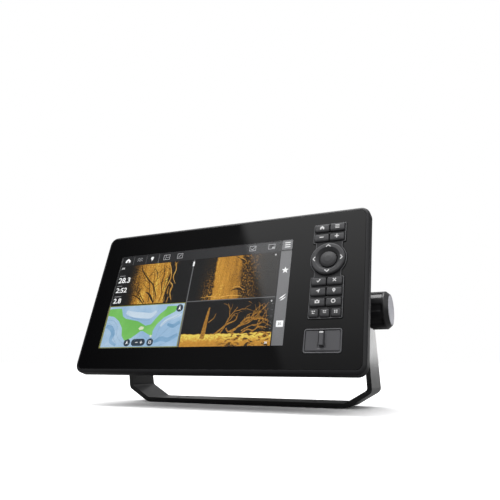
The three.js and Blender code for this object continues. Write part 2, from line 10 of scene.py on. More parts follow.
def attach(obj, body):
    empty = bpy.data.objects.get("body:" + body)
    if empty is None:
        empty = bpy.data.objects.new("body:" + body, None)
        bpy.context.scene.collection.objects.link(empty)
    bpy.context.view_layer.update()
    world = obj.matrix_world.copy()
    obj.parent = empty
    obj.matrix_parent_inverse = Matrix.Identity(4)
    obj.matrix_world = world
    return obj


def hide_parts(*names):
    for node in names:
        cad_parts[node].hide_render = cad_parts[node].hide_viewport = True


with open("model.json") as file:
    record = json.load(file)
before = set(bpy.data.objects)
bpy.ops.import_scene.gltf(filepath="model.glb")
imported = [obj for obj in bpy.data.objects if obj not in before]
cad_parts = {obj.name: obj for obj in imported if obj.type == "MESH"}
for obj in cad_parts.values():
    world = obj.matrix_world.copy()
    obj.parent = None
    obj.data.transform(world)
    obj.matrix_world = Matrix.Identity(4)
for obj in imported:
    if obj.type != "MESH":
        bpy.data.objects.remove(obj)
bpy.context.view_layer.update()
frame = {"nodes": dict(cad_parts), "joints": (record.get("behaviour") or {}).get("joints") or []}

MM = 0.001
TILT_DEG = -17.1
FRONT_Y = -58.3
PIVOT = Vector(next(joint["pos_m"] for joint in frame["joints"] if joint["name"] == "head_tilt"))
HEAD = Matrix.Translation(PIVOT) @ Matrix.Rotation(math.radians(TILT_DEG), 4, "X")

# Case and glass
CASE = (300.1, 157.5, 9)
CASE_PLACE = (-1.2, 1.35)
CASE_ROUND = 3
EDGE_STEPS = 6
RIM_DEPTH = 10
CASE_BACK = 26
FRONT_REAR = (276.5, 134.2, 10)
GLASS = (293.2, 150.6, 6)
GLASS_DEPTH = (0.15, 1.65)
FLOOR_DEPTH = (2.8, 5)

# Screen: its picture is laid out from its lower left corner
SCREEN = (202.8, 105.4)
SCREEN_X = -25.4
SCREEN_LEFT = SCREEN_X - SCREEN[0] / 2
SCREEN_BOTTOM = -SCREEN[1] / 2
LAYER = {"top": 1.72, "marks": 1.78, "details": 1.84, "panes": 1.9, "base": 1.96}
LAYER_THICKNESS = 0.04
CAPITAL_SHARE = 0.73
DIGIT_WIDENING = 1.08

# Keypad
PAD_X = 112.4
PAD_HALF = 15.4
UPPER_BLOCK = (44.2, 64.4)
LOWER_BLOCK = (-29.9, 9.7)
NECK_HALF = 12.6
RING_Z = 27.2
RING_SURROUND = 17.1
RING_RADIUS = 15.8
KEY_HEIGHT = 7.4
KEY_BOTTOM = 1.7
TWO_KEYS = (13.6, 14.5)
THREE_KEYS = (8.2, 9.95)
KEY_ROWS = (
    (59.5, ("key_home", "key_menu")),
    (49.3, ("key_minus", "key_plus")),
    (4.9, ("key_check", "key_cancel")),
    (-5.1, ("key_navigate", "key_mark")),
    (-15.1, ("key_camera", "key_clock")),
    (-25.1, ("key_view_1", "key_view_2", "key_view_3")),
)

# Card door
DOOR = {"x": 111.4, "z": -49.4, "width": 30.5, "height": 18.6, "thickness": 2.4, "barrel": 1.9}
BAY = (33.5, 21.6, 2.5)
BAY_DEPTH = (-0.5, 12.2, 13.6)
DOOR_AXIS_Z = DOOR["z"] - DOOR["height"] / 2 + DOOR["barrel"]

# Rear housing
FLANGE = (276, 133.7, 10)
FLANGE_DEPTH = (27.4, 30.4)
REAR_BOX = (254, 116, 12)
REAR_BACK = 82
REAR_WALL = 3
REAR_BACK_WALL = 5
FIN = {"count": 17, "pitch": 11, "thickness": 2.4, "height": 66, "z": 17, "back": 92}
SCREW_PLACES = ((-132.5, 44), (0, 62.8), (132.5, 44), (132.5, -44), (0, -62.8), (-132.5, -44))
SOCKET_Z = -34
SOCKETS = (
    ("power_socket", -90, 3), ("sonar_socket", -50, 7), ("network_socket", -10, 5), ("bus_socket", 30, 4),
)
VENT_X = 72


# ---------- outlines: lists of (x, z) points, anticlockwise seen from the front ----------

def rounded(size, at=(0, 0), grow=0, steps=12):
    width, height, radius = size[0] + 2 * grow, size[1] + 2 * grow, size[2] + grow
    points = []
    for corner, (side_x, side_z) in enumerate(((1, 1), (-1, 1), (-1, -1), (1, -1))):
        for step in range(steps + 1):
            angle = math.pi / 2 * (corner + step / steps)
            x = side_x * (width / 2 - radius) + radius * math.cos(angle)
            z = side_z * (height / 2 - radius) + radius * math.sin(angle)
            points.append((at[0] + x, at[1] + z))
    return points


def circle(radius, at=(0, 0), steps=64):
    turns = (2 * math.pi * step / steps for step in range(steps))
    return [(at[0] + radius * math.cos(turn), at[1] + radius * math.sin(turn)) for turn in turns]


def fillet(corners, steps=5, closed=True):
    """The points of an outline whose corners, each (x, z, radius), are rounded."""
    points = []
    last = len(corners) - 1
    for i, (x, z, radius) in enumerate(corners):
        if radius == 0 or (not closed and i in (0, last)):
            points.append((x, z))
            continue
        here = Vector((x, z))
        before = Vector(corners[i - 1][:2]) - here
        after = Vector(corners[(i + 1) % len(corners)][:2]) - here
        reach = radius / math.tan(before.angle(after) / 2)
        reach = min(reach, 0.49 * before.length, 0.49 * after.length)
        start, end = here + before.normalized() * reach, here + after.normalized() * reach
        for step in range(steps + 1):
            t = step / steps
            points.append(tuple(start * (1 - t) ** 2 + here * 2 * t * (1 - t) + end * t ** 2))
    return points


def moved(points, at, scale=1):
    return [(at[0] + scale * x, at[1] + scale * z) for x, z in points]


def keypad_outline(grow=0):
    half, neck, ring = PAD_HALF + grow, NECK_HALF + grow, RING_SURROUND + grow
    upper_low, upper_high = UPPER_BLOCK[0] - grow, UPPER_BLOCK[1] + grow
    lower_low, lower_high = LOWER_BLOCK[0] - grow, LOWER_BLOCK[1] + grow
    corner, inner = 1.8 + grow, 1.2
    crossing = math.acos(neck / ring)
    arc = [crossing * (2 * step / 24 - 1) for step in range(25)]
    left = [(-ring * math.cos(turn), RING_Z - ring * math.sin(turn), 0) for turn in arc]
    right = [(ring * math.cos(turn), RING_Z + ring * math.sin(turn), 0) for turn in arc]
    corners = [
        (half, upper_high, corner), (-half, upper_high, corner), (-half, upper_low, corner),
        (-neck, upper_low, inner),
        *left,
        (-neck, lower_high, inner), (-half, lower_high, corner), (-half, lower_low, corner),
        (half, lower_low, corner), (half, lower_high, corner), (neck, lower_high, inner),
        *right,
        (neck, upper_low, inner), (half, upper_low, corner),
    ]
    return moved(fillet(corners), (PAD_X, 0))


def smooth_path(points):
    """A Catmull-Rom curve through the points."""
    vectors = [Vector(point) for point in points]
    vectors = [2 * vectors[0] - vectors[1], *vectors, 2 * vectors[-1] - vectors[-2]]
    path, steps = [], 8
    for i in range(1, len(vectors) - 2):
        a, b, c, d = vectors[i - 1:i + 3]
        for step in range(steps):
            t = step / steps
            path.append(0.5 * (2 * b + (c - a) * t + (2 * a - 5 * b + 4 * c - d) * t ** 2
                               + (3 * b - a - 3 * c + d) * t ** 3))
    return path + [vectors[-2]]


# ---------- solids: each is (vertices, faces), in the head's frame ----------

def loft(sections, closed=False):
    """A body through outlines of equal length, each (points, depth). Closed joins the last to the first."""
    count = len(sections[0][0])
    vertices = [(x, FRONT_Y + depth, z) for points, depth in sections for x, z in points]
    faces = []
    layers = len(sections)
    for layer in range(layers if closed else layers - 1):
        here, there = layer * count, ((layer + 1) % layers) * count
        for i in range(count):
            j = (i + 1) % count
            faces.append((here + i, there + i, there + j, here + j))
    if not closed:
        faces.append(tuple(range(count)))
        faces.append(tuple(reversed(range((layers - 1) * count, layers * count))))
    return vertices, faces


def lathe(profile, at=(0, 0), segments=64, across=None, ripple=None):
    """A turned body. The profile holds (radius, depth) pairs. With across, the side of the head that the axis
    points to, they are (radius, distance from the middle). A profile off the axis closes on itself."""
    on_axis = profile[0][0] == 0
    vertices, rows = [], []
    for radius, along in profile:
        row = []
        for step in range(1 if radius == 0 else segments):
            angle = 2 * math.pi * step / segments
            size = ripple(radius, along, angle) if ripple and radius else radius
            u, v = size * math.cos(angle), size * math.sin(angle)
            row.append(len(vertices))
            vertices.append((across * along, u, v) if across else (at[0] + u, FRONT_Y + along, at[1] + v))
        rows.append(row)
    faces = []
    for i in range(len(rows) - 1 if on_axis else len(rows)):
        here, there = rows[i], rows[(i + 1) % len(rows)]
        for step in range(segments):
            after = (step + 1) % segments
            corners = [here[step % len(here)], here[after % len(here)],
                       there[after % len(there)], there[step % len(there)]]
            faces.append(tuple(dict.fromkeys(corners)))
    return vertices, [face for face in faces if len(face) > 2]


def ring_profile(inner, outer, front, back, edge=0.3):
    corners = [(inner, front, edge), (outer, front, edge), (outer, back, edge), (inner, back, edge)]
    return fillet(corners, steps=3)


def in_scene(name, data):
    made = bpy.data.objects.new(name, data)
    bpy.context.scene.collection.objects.link(made)
    return made


def outlined_curve(outlines, **settings):
    curve = bpy.data.curves.new("outline", "CURVE")
    for key, value in settings.items():
        setattr(curve, key, value)
    for outline in outlines:
        spline = curve.splines.new("POLY")
        spline.points.add(len(outline) - 1)
        for point, (x, z) in zip(spline.points, outline):
            point.co = (x, z, 0, 1)
        spline.use_cyclic_u = True
    return curve


def from_curve(curve, middle):
    """The mesh of a flat curve that lies on the head at a depth."""
    holder = in_scene("holder", curve)
    bpy.context.view_layer.update()
    mesh = bpy.data.meshes.new_from_object(holder)
    bpy.data.objects.remove(holder)
    shape = bmesh.new()
    shape.from_mesh(mesh)
    bpy.data.meshes.remove(mesh)
    bmesh.ops.remove_doubles(shape, verts=shape.verts, dist=1e-3)
    bmesh.ops.dissolve_degenerate(shape, dist=1e-4, edges=shape.edges)
    shape.verts.index_update()
    vertices = [(v.co.x, FRONT_Y + middle - v.co.z, v.co.y) for v in shape.verts]
    faces = [tuple(v.index for v in face.verts) for face in shape.faces]
    shape.free()
    return vertices, faces


def plate(outlines, front, back, bevel=0, steps=3):
    """A flat body with rounded edges. Outlines inside the first are holes."""
    curve = outlined_curve(outlines, dimensions="2D", fill_mode="BOTH", extrude=(back - front) / 2 - bevel,
                           bevel_depth=bevel, offset=-bevel, bevel_resolution=steps - 1)
    return from_curve(curve, (front + back) / 2)


def bead(outline, depth, radius):
    """A round bar along an outline."""
    curve = outlined_curve([outline], dimensions="3D", bevel_depth=radius, bevel_resolution=3)
    return from_curve(curve, depth)


def strip(points, widths, front, back):
    """A thin ribbon along a smooth path, whose width runs through the given widths."""
    path = smooth_path(points)
    vertices, faces = [], []
    for i, here in enumerate(path):
        along = path[min(i + 1, len(path) - 1)] - path[max(i - 1, 0)]
        side = Vector((-along.y, along.x)).normalized()
        place = i / (len(path) - 1) * (len(widths) - 1)
        low = min(int(place), len(widths) - 2)
        width = widths[low] + (widths[low + 1] - widths[low]) * (place - low)
        for depth in (front, back):
            for sign in (-0.5, 0.5):
                point = here + side * width * sign
                vertices.append((point.x, FRONT_Y + depth, point.y))
        if i:
            a, b = 4 * i - 4, 4 * i
            faces += [(a, b, b + 1, a + 1), (a + 2, a + 3, b + 3, b + 2), (a, a + 2, b + 2, b),
                      (a + 1, b + 1, b + 3, a + 3)]
    end = 4 * (len(path) - 1)
    faces += [(0, 1, 3, 2), (end, end + 2, end + 3, end + 1)]
    return vertices, faces


def stroke(points, width):
    """The outline of a line drawn with square joints."""
    vectors = [Vector(point) for point in points]
    sides = []
    for i, here in enumerate(vectors):
        before = here - vectors[i - 1] if i else vectors[1] - vectors[0]
        after = vectors[i + 1] - here if i + 1 < len(vectors) else before
        first, second = before.normalized(), after.normalized()
        normal = Vector((-(first + second).y, (first + second).x)).normalized()
        reach = width / 2 / max(normal.dot(Vector((-first.y, first.x))), 0.4)
        sides.append((here + normal * reach, here - normal * reach))
    return [tuple(a) for a, _ in sides] + [tuple(b) for _, b in reversed(sides)]


def digits(text, at, height, front):
    """Figures whose lower left corner is at a point of the head's front."""
    curve = bpy.data.curves.new("digits", "FONT")
    curve.body = text
    curve.size = height / CAPITAL_SHARE
    curve.offset = 0.025 * height
    curve.extrude = LAYER_THICKNESS / 2
    vertices, faces = from_curve(curve, front + LAYER_THICKNESS / 2)
    left = min(v[0] for v in vertices)
    return [(at[0] + (x - left) * DIGIT_WIDENING, y, at[1] + z) for x, y, z in vertices], faces


def make_object(name, parts, sharp_deg):
    vertices, faces = [], []
    for part_vertices, part_faces in parts:
        start = len(vertices)
        vertices += [HEAD @ (Vector(vertex) * MM) for vertex in part_vertices]
        faces += [tuple(start + i for i in face) for face in part_faces]
    mesh = bpy.data.meshes.new(name)
    mesh.from_pydata(vertices, [], faces)
    shape = bmesh.new()
    shape.from_mesh(mesh)
    bmesh.ops.recalc_face_normals(shape, faces=shape.faces)
    shape.to_mesh(mesh)
    shape.free()
    mesh.shade_smooth()
    mesh.set_sharp_from_angle(angle=math.radians(sharp_deg))
    made = in_scene(name, mesh)
    weighted = made.modifiers.new("even shading", "WEIGHTED_NORMAL")
    weighted.keep_sharp = True
    return made


def finished(made, material, body, nodes=()):
    """Dresses an object in a material, or in the one of that name in MATERIALS, and hangs it on its body."""
    made.data.materials.clear()
    made.data.materials.append(MATERIALS.get(material, material))
    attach(made, body)
    if nodes:
        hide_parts(*nodes)
    return made


def piece(name, parts, material, body="display_head", nodes=(), sharp_deg=38):
    return finished(make_object(name, parts, sharp_deg), material, body, nodes)


# ---------- materials ----------

def colour(code):
    """Linear light from a colour as #rrggbb."""
    values = [int(code[i:i + 2], 16) / 255 for i in (1, 3, 5)]
    linear = [v / 12.92 if v <= 0.04045 else ((v + 0.055) / 1.055) ** 2.4 for v in values]
    return (*linear, 1)


def scaled(value, factor):
    return (*[min(v * factor, 1) for v in value[:3]], 1)


NOISE_ROUGHNESS = 0.55


class Graph:
    """Builds one material's or the world's nodes in a few short calls."""

    def __init__(self, owner):
        self.owner = owner
        owner.use_nodes = True
        self.tree = owner.node_tree
        self.coords = None

    @classmethod
    def material(cls, name):
        graph = cls(bpy.data.materials.new(name))
        graph.shader = graph.tree.nodes["Principled BSDF"]
        return graph

    def node(self, kind, inputs=None, **settings):
        made = self.tree.nodes.new("ShaderNode" + kind)
        for key, value in settings.items():
            setattr(made, key, value)
        for key, value in (inputs or {}).items():
            self.feed(made.inputs[key], value)
        return made

    def feed(self, socket, value):
        if isinstance(value, bpy.types.NodeSocket):
            self.tree.links.new(value, socket)
        else:
            socket.default_value = value

    def set(self, **values):
        for key, value in values.items():
            self.feed(self.shader.inputs[key.replace("_", " ")], value)

    def math(self, operation, *values, clamp=False):
        return self.node("Math", dict(enumerate(values)), operation=operation, use_clamp=clamp).outputs[0]

    def times(self, *values, clamp=False):
        product = values[0]
        for value in values[1:]:
            product = self.math("MULTIPLY", product, value, clamp=clamp and value is values[-1])
        return product

    def plus(self, first, second, clamp=False):
        return self.math("ADD", first, second, clamp=clamp)

    def line(self, value, slope, offset):
        return self.math("MULTIPLY_ADD", value, slope, offset)

    def band(self, value, rise_start, rise_end, fall_start, fall_end, rest=0):
        """1 between a soft rise and a soft fall, and rest after the fall."""
        rise = self.smooth(value, rise_start, rise_end)
        return self.times(rise, self.smooth(value, fall_start, fall_end, 1, rest))

    def smooth(self, value, low, high, start=0, end=1):
        inputs = dict(enumerate((value, low, high, start, end)))
        return self.node("MapRange", inputs, interpolation_type="SMOOTHSTEP").outputs[0]

    def object_coords(self):
        """Object coordinates in the head's own frame, in metres."""
        if not self.coords:
            inputs = {"Vector": self.node("TexCoord").outputs["Object"], "Location": PIVOT,
                      "Rotation": (math.radians(TILT_DEG), 0, 0)}
            self.coords = self.node("Mapping", inputs, vector_type="TEXTURE").outputs[0]
        return self.coords

    def stretched(self, scale, rotation=(0, 0, 0)):
        inputs = {"Vector": self.object_coords(), "Scale": scale, "Rotation": rotation}
        return self.node("Mapping", inputs).outputs[0]

    def noise(self, scale, detail=3, vector=None, distortion=0):
        inputs = {"Vector": vector or self.object_coords(), "Scale": scale, "Detail": detail,
                  "Roughness": NOISE_ROUGHNESS, "Distortion": distortion}
        return self.node("TexNoise", inputs).outputs[0]

    def ramp(self, factor, stops):
        made = self.node("ValToRGB")
        self.feed(made.inputs[0], factor)
        elements = made.color_ramp.elements
        while len(elements) < len(stops):
            elements.new(0.5)
        for element, (place, value) in zip(elements, stops):
            element.position = place
            element.color = value
        return made.outputs[0]

    def mix(self, factor, first, second):
        return self.node("Mix", {0: factor, 6: first, 7: second}, data_type="RGBA").outputs[2]

    def bump(self, height, strength, distance):
        return self.node("Bump", {"Strength": strength, "Distance": distance, "Height": height}).outputs[0]


def moulded(name, code, roughness, grain=1500, bump=0.25, mottle=0.14, edge_lightening=0.25, specular=0.5, coat=0):
    """Moulded plastic, rubber or painted metal: fine grain, soft mottling and a lighter colour along sharp
    edges.
    """
    graph = Graph.material(name)
    base = colour(code)
    broad = graph.noise(28, 4)
    fine = graph.noise(grain, 2)
    body = graph.mix(broad, scaled(base, 1 - mottle), scaled(base, 1 + mottle))
    # Sharp convex edges get a lighter colour, up to 2.2 times the base, by the given share
    edge = graph.smooth(graph.node("NewGeometry").outputs["Pointiness"], 0.51, 0.6, 0, edge_lightening)
    edge_lightened = graph.mix(edge, body, scaled(base, 2.2))
    graph.set(Base_Color=edge_lightened, Specular_IOR_Level=specular)
    patchy = graph.line(graph.noise(90, 3), 0.1, roughness - 0.08)
    graph.set(Roughness=graph.line(fine, 0.06, patchy))
    graph.set(Normal=graph.bump(fine, bump, 0.00006))
    if coat:
        graph.set(Coat_Weight=coat, Coat_Roughness=0.12)
    return graph.owner


def brushed(name, code, roughness, along, metallic=1, bump=0.12):
    """Metal with fine lines that run along one axis."""
    graph = Graph.material(name)
    base = colour(code)
    scale = tuple(60 if axis == along else 2400 for axis in "XYZ")
    lines = graph.noise(1, 3, vector=graph.stretched(scale))
    tone = graph.mix(lines, scaled(base, 0.82), scaled(base, 1.15))
    smudge = graph.noise(60, 4)
    graph.set(Base_Color=graph.mix(graph.times(smudge, 0.3), tone, scaled(base, 0.75)), Metallic=metallic)
    graph.set(Roughness=graph.line(lines, 0.16, roughness - 0.08))
    graph.set(Normal=graph.bump(lines, bump, 0.00003))
    return graph.owner


def cast_metal(name, code, roughness):
    """Powder-coated casting with a coarse orange-peel skin."""
    graph = Graph.material(name)
    base = colour(code)
    peel = graph.noise(620, 3)
    dust = graph.noise(14, 5)
    graph.set(Base_Color=graph.mix(dust, scaled(base, 0.85), scaled(base, 1.2)), Metallic=0.15)
    graph.set(Roughness=graph.line(peel, 0.2, roughness - 0.1))
    graph.set(Normal=graph.bump(peel, 0.35, 0.00012))
    return graph.owner


def clear_glass(name):
    graph = Graph.material(name)
    film = graph.noise(22, 5)
    graph.set(Base_Color=graph.mix(film, (0.97, 0.985, 0.99, 1), (1, 1, 1, 1)))
    graph.set(Transmission_Weight=1, IOR=1.5)
    graph.set(Roughness=graph.smooth(film, 0.45, 0.75, 0, 0.015))
    return graph.owner


def printed_glass(name):
    """Glass with black print behind it, which looks black and glossy."""
    graph = Graph.material(name)
    film = graph.noise(18, 5)
    graph.set(Base_Color=graph.mix(film, colour("#040405"), colour("#070708")))
    graph.set(Roughness=graph.smooth(film, 0.4, 0.8, 0.03, 0.09), IOR=1.5)
    return graph.owner


SCREEN_GLOW = 1


def glowing(graph, pattern, strength=SCREEN_GLOW):
    graph.set(Base_Color=(0.004, 0.004, 0.004, 1), Emission_Color=pattern, Emission_Strength=strength)
    graph.set(Roughness=0.5, Specular_IOR_Level=0.1)
    return graph.owner


def lit(name, code, vary=0.08, strength=SCREEN_GLOW):
    """A lit area of one colour, with the slight cloudiness of a real backlight."""
    graph = Graph.material(name)
    base = colour(code)
    cloud = graph.noise(60, 3)
    return glowing(graph, graph.mix(cloud, scaled(base, 1 - vary), scaled(base, 1 + vary)), strength)


def screen_axes(graph):
    """How far across and up the screen a point is, in millimetres."""
    made = graph.node("SeparateXYZ", {0: graph.object_coords()})
    across = graph.line(made.outputs[0], 1000, -SCREEN_LEFT)
    up = graph.line(made.outputs[2], 1000, -SCREEN_BOTTOM)
    return across, up


def streaks(graph, scale, rotation_deg=0, detail=4, distortion=0):
    vector = graph.stretched(scale, (0, math.radians(rotation_deg), 0))
    return graph.noise(1, detail, vector=vector, distortion=distortion)


ECHO_STOPS = (
    (0, colour("#1a1a1b")), (0.18, colour("#33281a")), (0.36, colour("#7a5522")), (0.55, colour("#b5802f")),
    (0.78, colour("#d2973c")), (1, colour("#ecd662")),
)


def echo_left():
    """Strong bottom echo, speckled and streaked, fading to the left."""
    graph = Graph.material("echo_left")
    across, _ = screen_axes(graph)
    speckle = streaks(graph, (1300, 1, 620), 8, 3)
    broad = streaks(graph, (240, 1, 30), 10, 3)
    shifted = graph.plus(across, graph.line(streaks(graph, (50, 1, 60)), 12, -6))
    ragged = graph.plus(shifted, graph.line(speckle, 16, -8))
    band = graph.times(graph.smooth(ragged, 16, 38), graph.smooth(shifted, 64, 69, 1, 0))
    texture = graph.plus(graph.times(broad, 0.9), graph.line(speckle, 1.5, -0.52))
    strong = graph.times(band, texture)
    twigs = graph.smooth(streaks(graph, (500, 1, 110), -8, 3, 0.8), 0.52, 0.66)
    extra = graph.times(twigs, graph.band(across, 62, 67, 72, 80), 0.7)
    return glowing(graph, graph.ramp(graph.plus(strong, extra, clamp=True), ECHO_STOPS))


def echo_right():
    """A bright column of echo with brown haze on both sides."""
    graph = Graph.material("echo_right")
    across, up = screen_axes(graph)
    speckle = streaks(graph, (1200, 1, 620), 3, 3)
    broad = streaks(graph, (300, 1, 40), 2, 3)
    shifted = graph.plus(across, graph.line(streaks(graph, (60, 1, 160)), 7, -3.5))
    column = graph.band(shifted, 121, 124, 150, 155)
    texture = graph.plus(graph.times(broad, 0.7), graph.line(speckle, 1.1, -0.25))
    core = graph.times(column, graph.smooth(shifted, 152, 122, 0.78, 1.08), texture)
    low = graph.smooth(up, 92, 50, 0.3, 1)
    left = graph.band(across, 102, 121, 121, 127)
    right = graph.band(across, 148, 153, 156, 184, 0.15)
    grain = graph.smooth(streaks(graph, (620, 1, 520), 20, 5, 0.4), 0.38, 0.7)
    haze = graph.times(graph.plus(graph.times(left, low), graph.times(right, 0.8)), grain)
    level = graph.math("MAXIMUM", core, graph.times(haze, 0.72), clamp=True)
    return glowing(graph, graph.ramp(level, ECHO_STOPS))


def echo_bed():
    """Lake bed along the foot of the picture, brightest at its crest, with dark hollows to the right."""
    graph = Graph.material("echo_bed")
    across, up = screen_axes(graph)
    crest = graph.line(streaks(graph, (140, 1, 60), 0, 4), 4, 11)
    height = graph.math("SUBTRACT", crest, up)
    bed = graph.smooth(height, -0.4, 0.8)
    fade = graph.smooth(height, 0, 11, 1.12, 0.72)
    grain = graph.line(streaks(graph, (420, 1, 640), 25, 5, 0.5), 0.9, 0.5)
    mottle = graph.smooth(streaks(graph, (150, 1, 330), 12, 4, 0.6), 0.5, 0.6)
    hollows = graph.times(mottle, graph.smooth(across, 128, 156, 0.1, 0.75))
    level = graph.times(bed, fade, grain, graph.math("SUBTRACT", 1, hollows), clamp=True)
    return glowing(graph, graph.ramp(level, ECHO_STOPS))


def echo_strokes(name, codes, scale=(500, 1, 300)):
    """Branch-like echoes, drawn as ribbons, with a speckled body."""
    graph = Graph.material(name)
    grain = streaks(graph, scale, 15, 4, 0.5)
    stops = [(0.3 + 0.4 * i / (len(codes) - 1), colour(code)) for i, code in enumerate(codes)]
    return glowing(graph, graph.ramp(grain, stops))


def chart_ground(name, codes, scale):
    """Shaded map ground with soft-edged patches."""
    graph = Graph.material(name)
    patches = graph.noise(scale, 5, distortion=0.4)
    stops = [(0.35 + 0.3 * i / (len(codes) - 1), colour(code)) for i, code in enumerate(codes)]
    return glowing(graph, graph.ramp(patches, stops))


MATERIALS = {
    "case": moulded("case_plastic", "#232325", 0.48, grain=1300, edge_lightening=0.2, specular=0.25),
    "glass": clear_glass("cover_glass"),
    "border": printed_glass("printed_glass"),
    "key": moulded("key_rubber", "#3c3c3e", 0.5, grain=1700, edge_lightening=0.3, specular=0.35),
    # Lighter rubber for the bead round the keypad: a painted highlight along the surround's edge
    "rim_highlight": moulded("keypad_rim_painted_highlight", "#505052", 0.45, grain=1700),
    "surround": moulded("surround_rubber", "#2b2b2d", 0.55, grain=1700, edge_lightening=0.15, specular=0.3),
    "print": moulded("icon_print", "#cfcfcf", 0.5, grain=2400, bump=0.1, mottle=0.04, edge_lightening=0),
    "door": moulded("door_rubber", "#4d4d50", 0.5, grain=1500, edge_lightening=0.25, specular=0.35),
    "door_frame": moulded("door_frame", "#505053", 0.45, grain=1500, edge_lightening=0.2),
    "soft": moulded("seal_rubber", "#151515", 0.8, grain=900, bump=0.4, edge_lightening=0.1),
    "black": moulded("connector_plastic", "#121213", 0.4, grain=1300),
    "cast": cast_metal("cast_housing", "#2b2b2d", 0.55),
    "strap": moulded("powder_coat", "#101012", 0.3, grain=900, bump=0.12, edge_lightening=0.2, coat=0.2),
    "knob": moulded("knob_plastic", "#1d1d1f", 0.3, grain=1300, edge_lightening=0.3),
    "cap": brushed("knob_cap", "#c4c4cc", 0.45, "X", 0.25, 0.08),
    "steel": brushed("bare_steel", "#b9bcc0", 0.3, "X"),
    "brass": brushed("turned_brass", "#b08d4a", 0.3, "X"),
    "board": moulded("solder_mask", "#1f5a35", 0.35, grain=2200, bump=0.15, mottle=0.2, edge_lightening=0),
    "white": moulded("white_plastic", "#d8d8d4", 0.55, grain=1200, mottle=0.05),
    "pad": moulded("thermal_pad", "#6f7d86", 0.7, grain=700, bump=0.4),
    "panel": moulded("panel_edge", "#20242a", 0.3, grain=1500),
}


# ---------- front housing and glass ----------

def case_section(inset, depth):
    """The case's outline at a depth, a distance inside its outer faces."""
    taper = max(0, (depth - RIM_DEPTH) / (CASE_BACK - RIM_DEPTH))
    width, height, radius = (front + (rear - front) * taper for front, rear in zip(CASE, FRONT_REAR))
    place = (CASE_PLACE[0] * (1 - taper), CASE_PLACE[1] * (1 - taper))
    return rounded((width, height, radius), place, -inset), depth


RECESS = 3.2
HOUSING_WALL = 2.5
EDGE_TURNS = [math.pi / 2 * i / EDGE_STEPS for i in range(EDGE_STEPS + 1)]
EDGE_ARC = [(CASE_ROUND * (1 - math.sin(turn)), CASE_ROUND * (1 - math.cos(turn)), 0) for turn in EDGE_TURNS]
RIM_PROFILE = [
    (RECESS, FLOOR_DEPTH[0], 0), (RECESS, 0, 0.2), *EDGE_ARC, (0, RIM_DEPTH, 0.8),
    (0, CASE_BACK, 0.4), (HOUSING_WALL, CASE_BACK, 0.3), (HOUSING_WALL, RIM_DEPTH, 0),
    (HOUSING_WALL, FLOOR_DEPTH[1], 0),
]
SCREEN_PLACE = (SCREEN_X, 0)
DOOR_PLACE = (DOOR["x"], DOOR["z"])
PAD_PLACE = (PAD_X, (UPPER_BLOCK[1] + LOWER_BLOCK[0]) / 2)
PAD_HEIGHT = UPPER_BLOCK[1] - LOWER_BLOCK[0]
CLEARANCE = 0.3

rim = loft([case_section(inset, depth) for inset, depth in fillet(RIM_PROFILE)], closed=True)
housing_floor = plate([
    rounded(CASE, CASE_PLACE, 0.2 - HOUSING_WALL),
    rounded((206.4, 109.4, 1.5), SCREEN_PLACE),
    rounded((2 * PAD_HALF - 1.2, PAD_HEIGHT - 1.2, 1.5), PAD_PLACE),
    rounded(BAY, DOOR_PLACE, CLEARANCE),
], *FLOOR_DEPTH)
screw_bosses = [lathe(ring_profile(1.8, 3.6, 5, 26), place, 24) for place in SCREW_PLACES]
piece("case_front", [rim, housing_floor, *screw_bosses], "case", nodes=["front_housing"])

piece("glass_border", [plate([
    rounded(GLASS, CASE_PLACE), keypad_outline(CLEARANCE), rounded(BAY, DOOR_PLACE, CLEARANCE),
    rounded((*SCREEN, 0.4), SCREEN_PLACE),
], *GLASS_DEPTH, bevel=0.15)], "border", nodes=["cover_glass"])
piece("glass_window", [plate([rounded((*SCREEN, 0.4), SCREEN_PLACE, -0.02)], *GLASS_DEPTH)],
      "glass")


# ---------- screen picture ----------

def on_screen(points):
    return [(SCREEN_LEFT + across, SCREEN_BOTTOM + up) for across, up in points]


def screen_plate(left, right, low, high, layer, radius=0.4):
    middle = ((left + right) / 2, (low + high) / 2)
    return screen_shape(rounded((right - left, high - low, radius), middle, steps=4), layer)


def screen_shape(points, layer, *holes):
    outlines = [on_screen(outline) for outline in (points, *holes)]
    return plate(outlines, LAYER[layer], LAYER[layer] + LAYER_THICKNESS)


def screen_stroke(points, width, layer):
    return screen_shape(stroke(points, width), layer)


def screen_ribbon(points, widths, layer):
    return strip(on_screen(points), widths, LAYER[layer], LAYER[layer] + LAYER_THICKNESS)


def screen_ribbons(layer, rows):
    return [screen_ribbon(points, widths, layer) for points, widths in rows]


def screen_plates(layer, *boxes):
    return [screen_plate(*box[:4], layer, *box[4:]) for box in boxes]


def screen_frame(left, right, low, high, width, layer):
    """A hollow rectangle."""
    outer = [(left, low), (right, low), (right, high), (left, high)]
    inner = [(left + width, low + width), (right - width, low + width), (right - width, high - width),
             (left + width, high - width)]
    return screen_shape(outer, layer, inner)


def screen_piece(name, parts, material):
    piece(name, parts, material)


PANES = {"left": (0, 95), "right": (96.2, 190.2), "low": (0.4, 46.3), "high": (47.4, 93.8)}
TOOLBAR = (94.2, 105.3)
SIDEBAR = (191.3, 202.7)


def toolbar_glow():
    graph = Graph.material("toolbar")
    across, _ = screen_axes(graph)
    tone = graph.ramp(graph.smooth(across, 0, 200), ((0, colour("#232325")), (1, colour("#3a3a3c"))))
    grain = graph.mix(graph.noise(300, 3), tone, colour("#2e2e30"))
    return glowing(graph, graph.mix(0.25, tone, grain))


def sidebar_glow():
    graph = Graph.material("sidebar")
    _, up = screen_axes(graph)
    tone = graph.ramp(graph.smooth(up, 0, 100), ((0, colour("#6f6f71")), (1, colour("#7b7b7d"))))
    return glowing(graph, graph.mix(graph.noise(90, 3), tone, colour("#767678")))


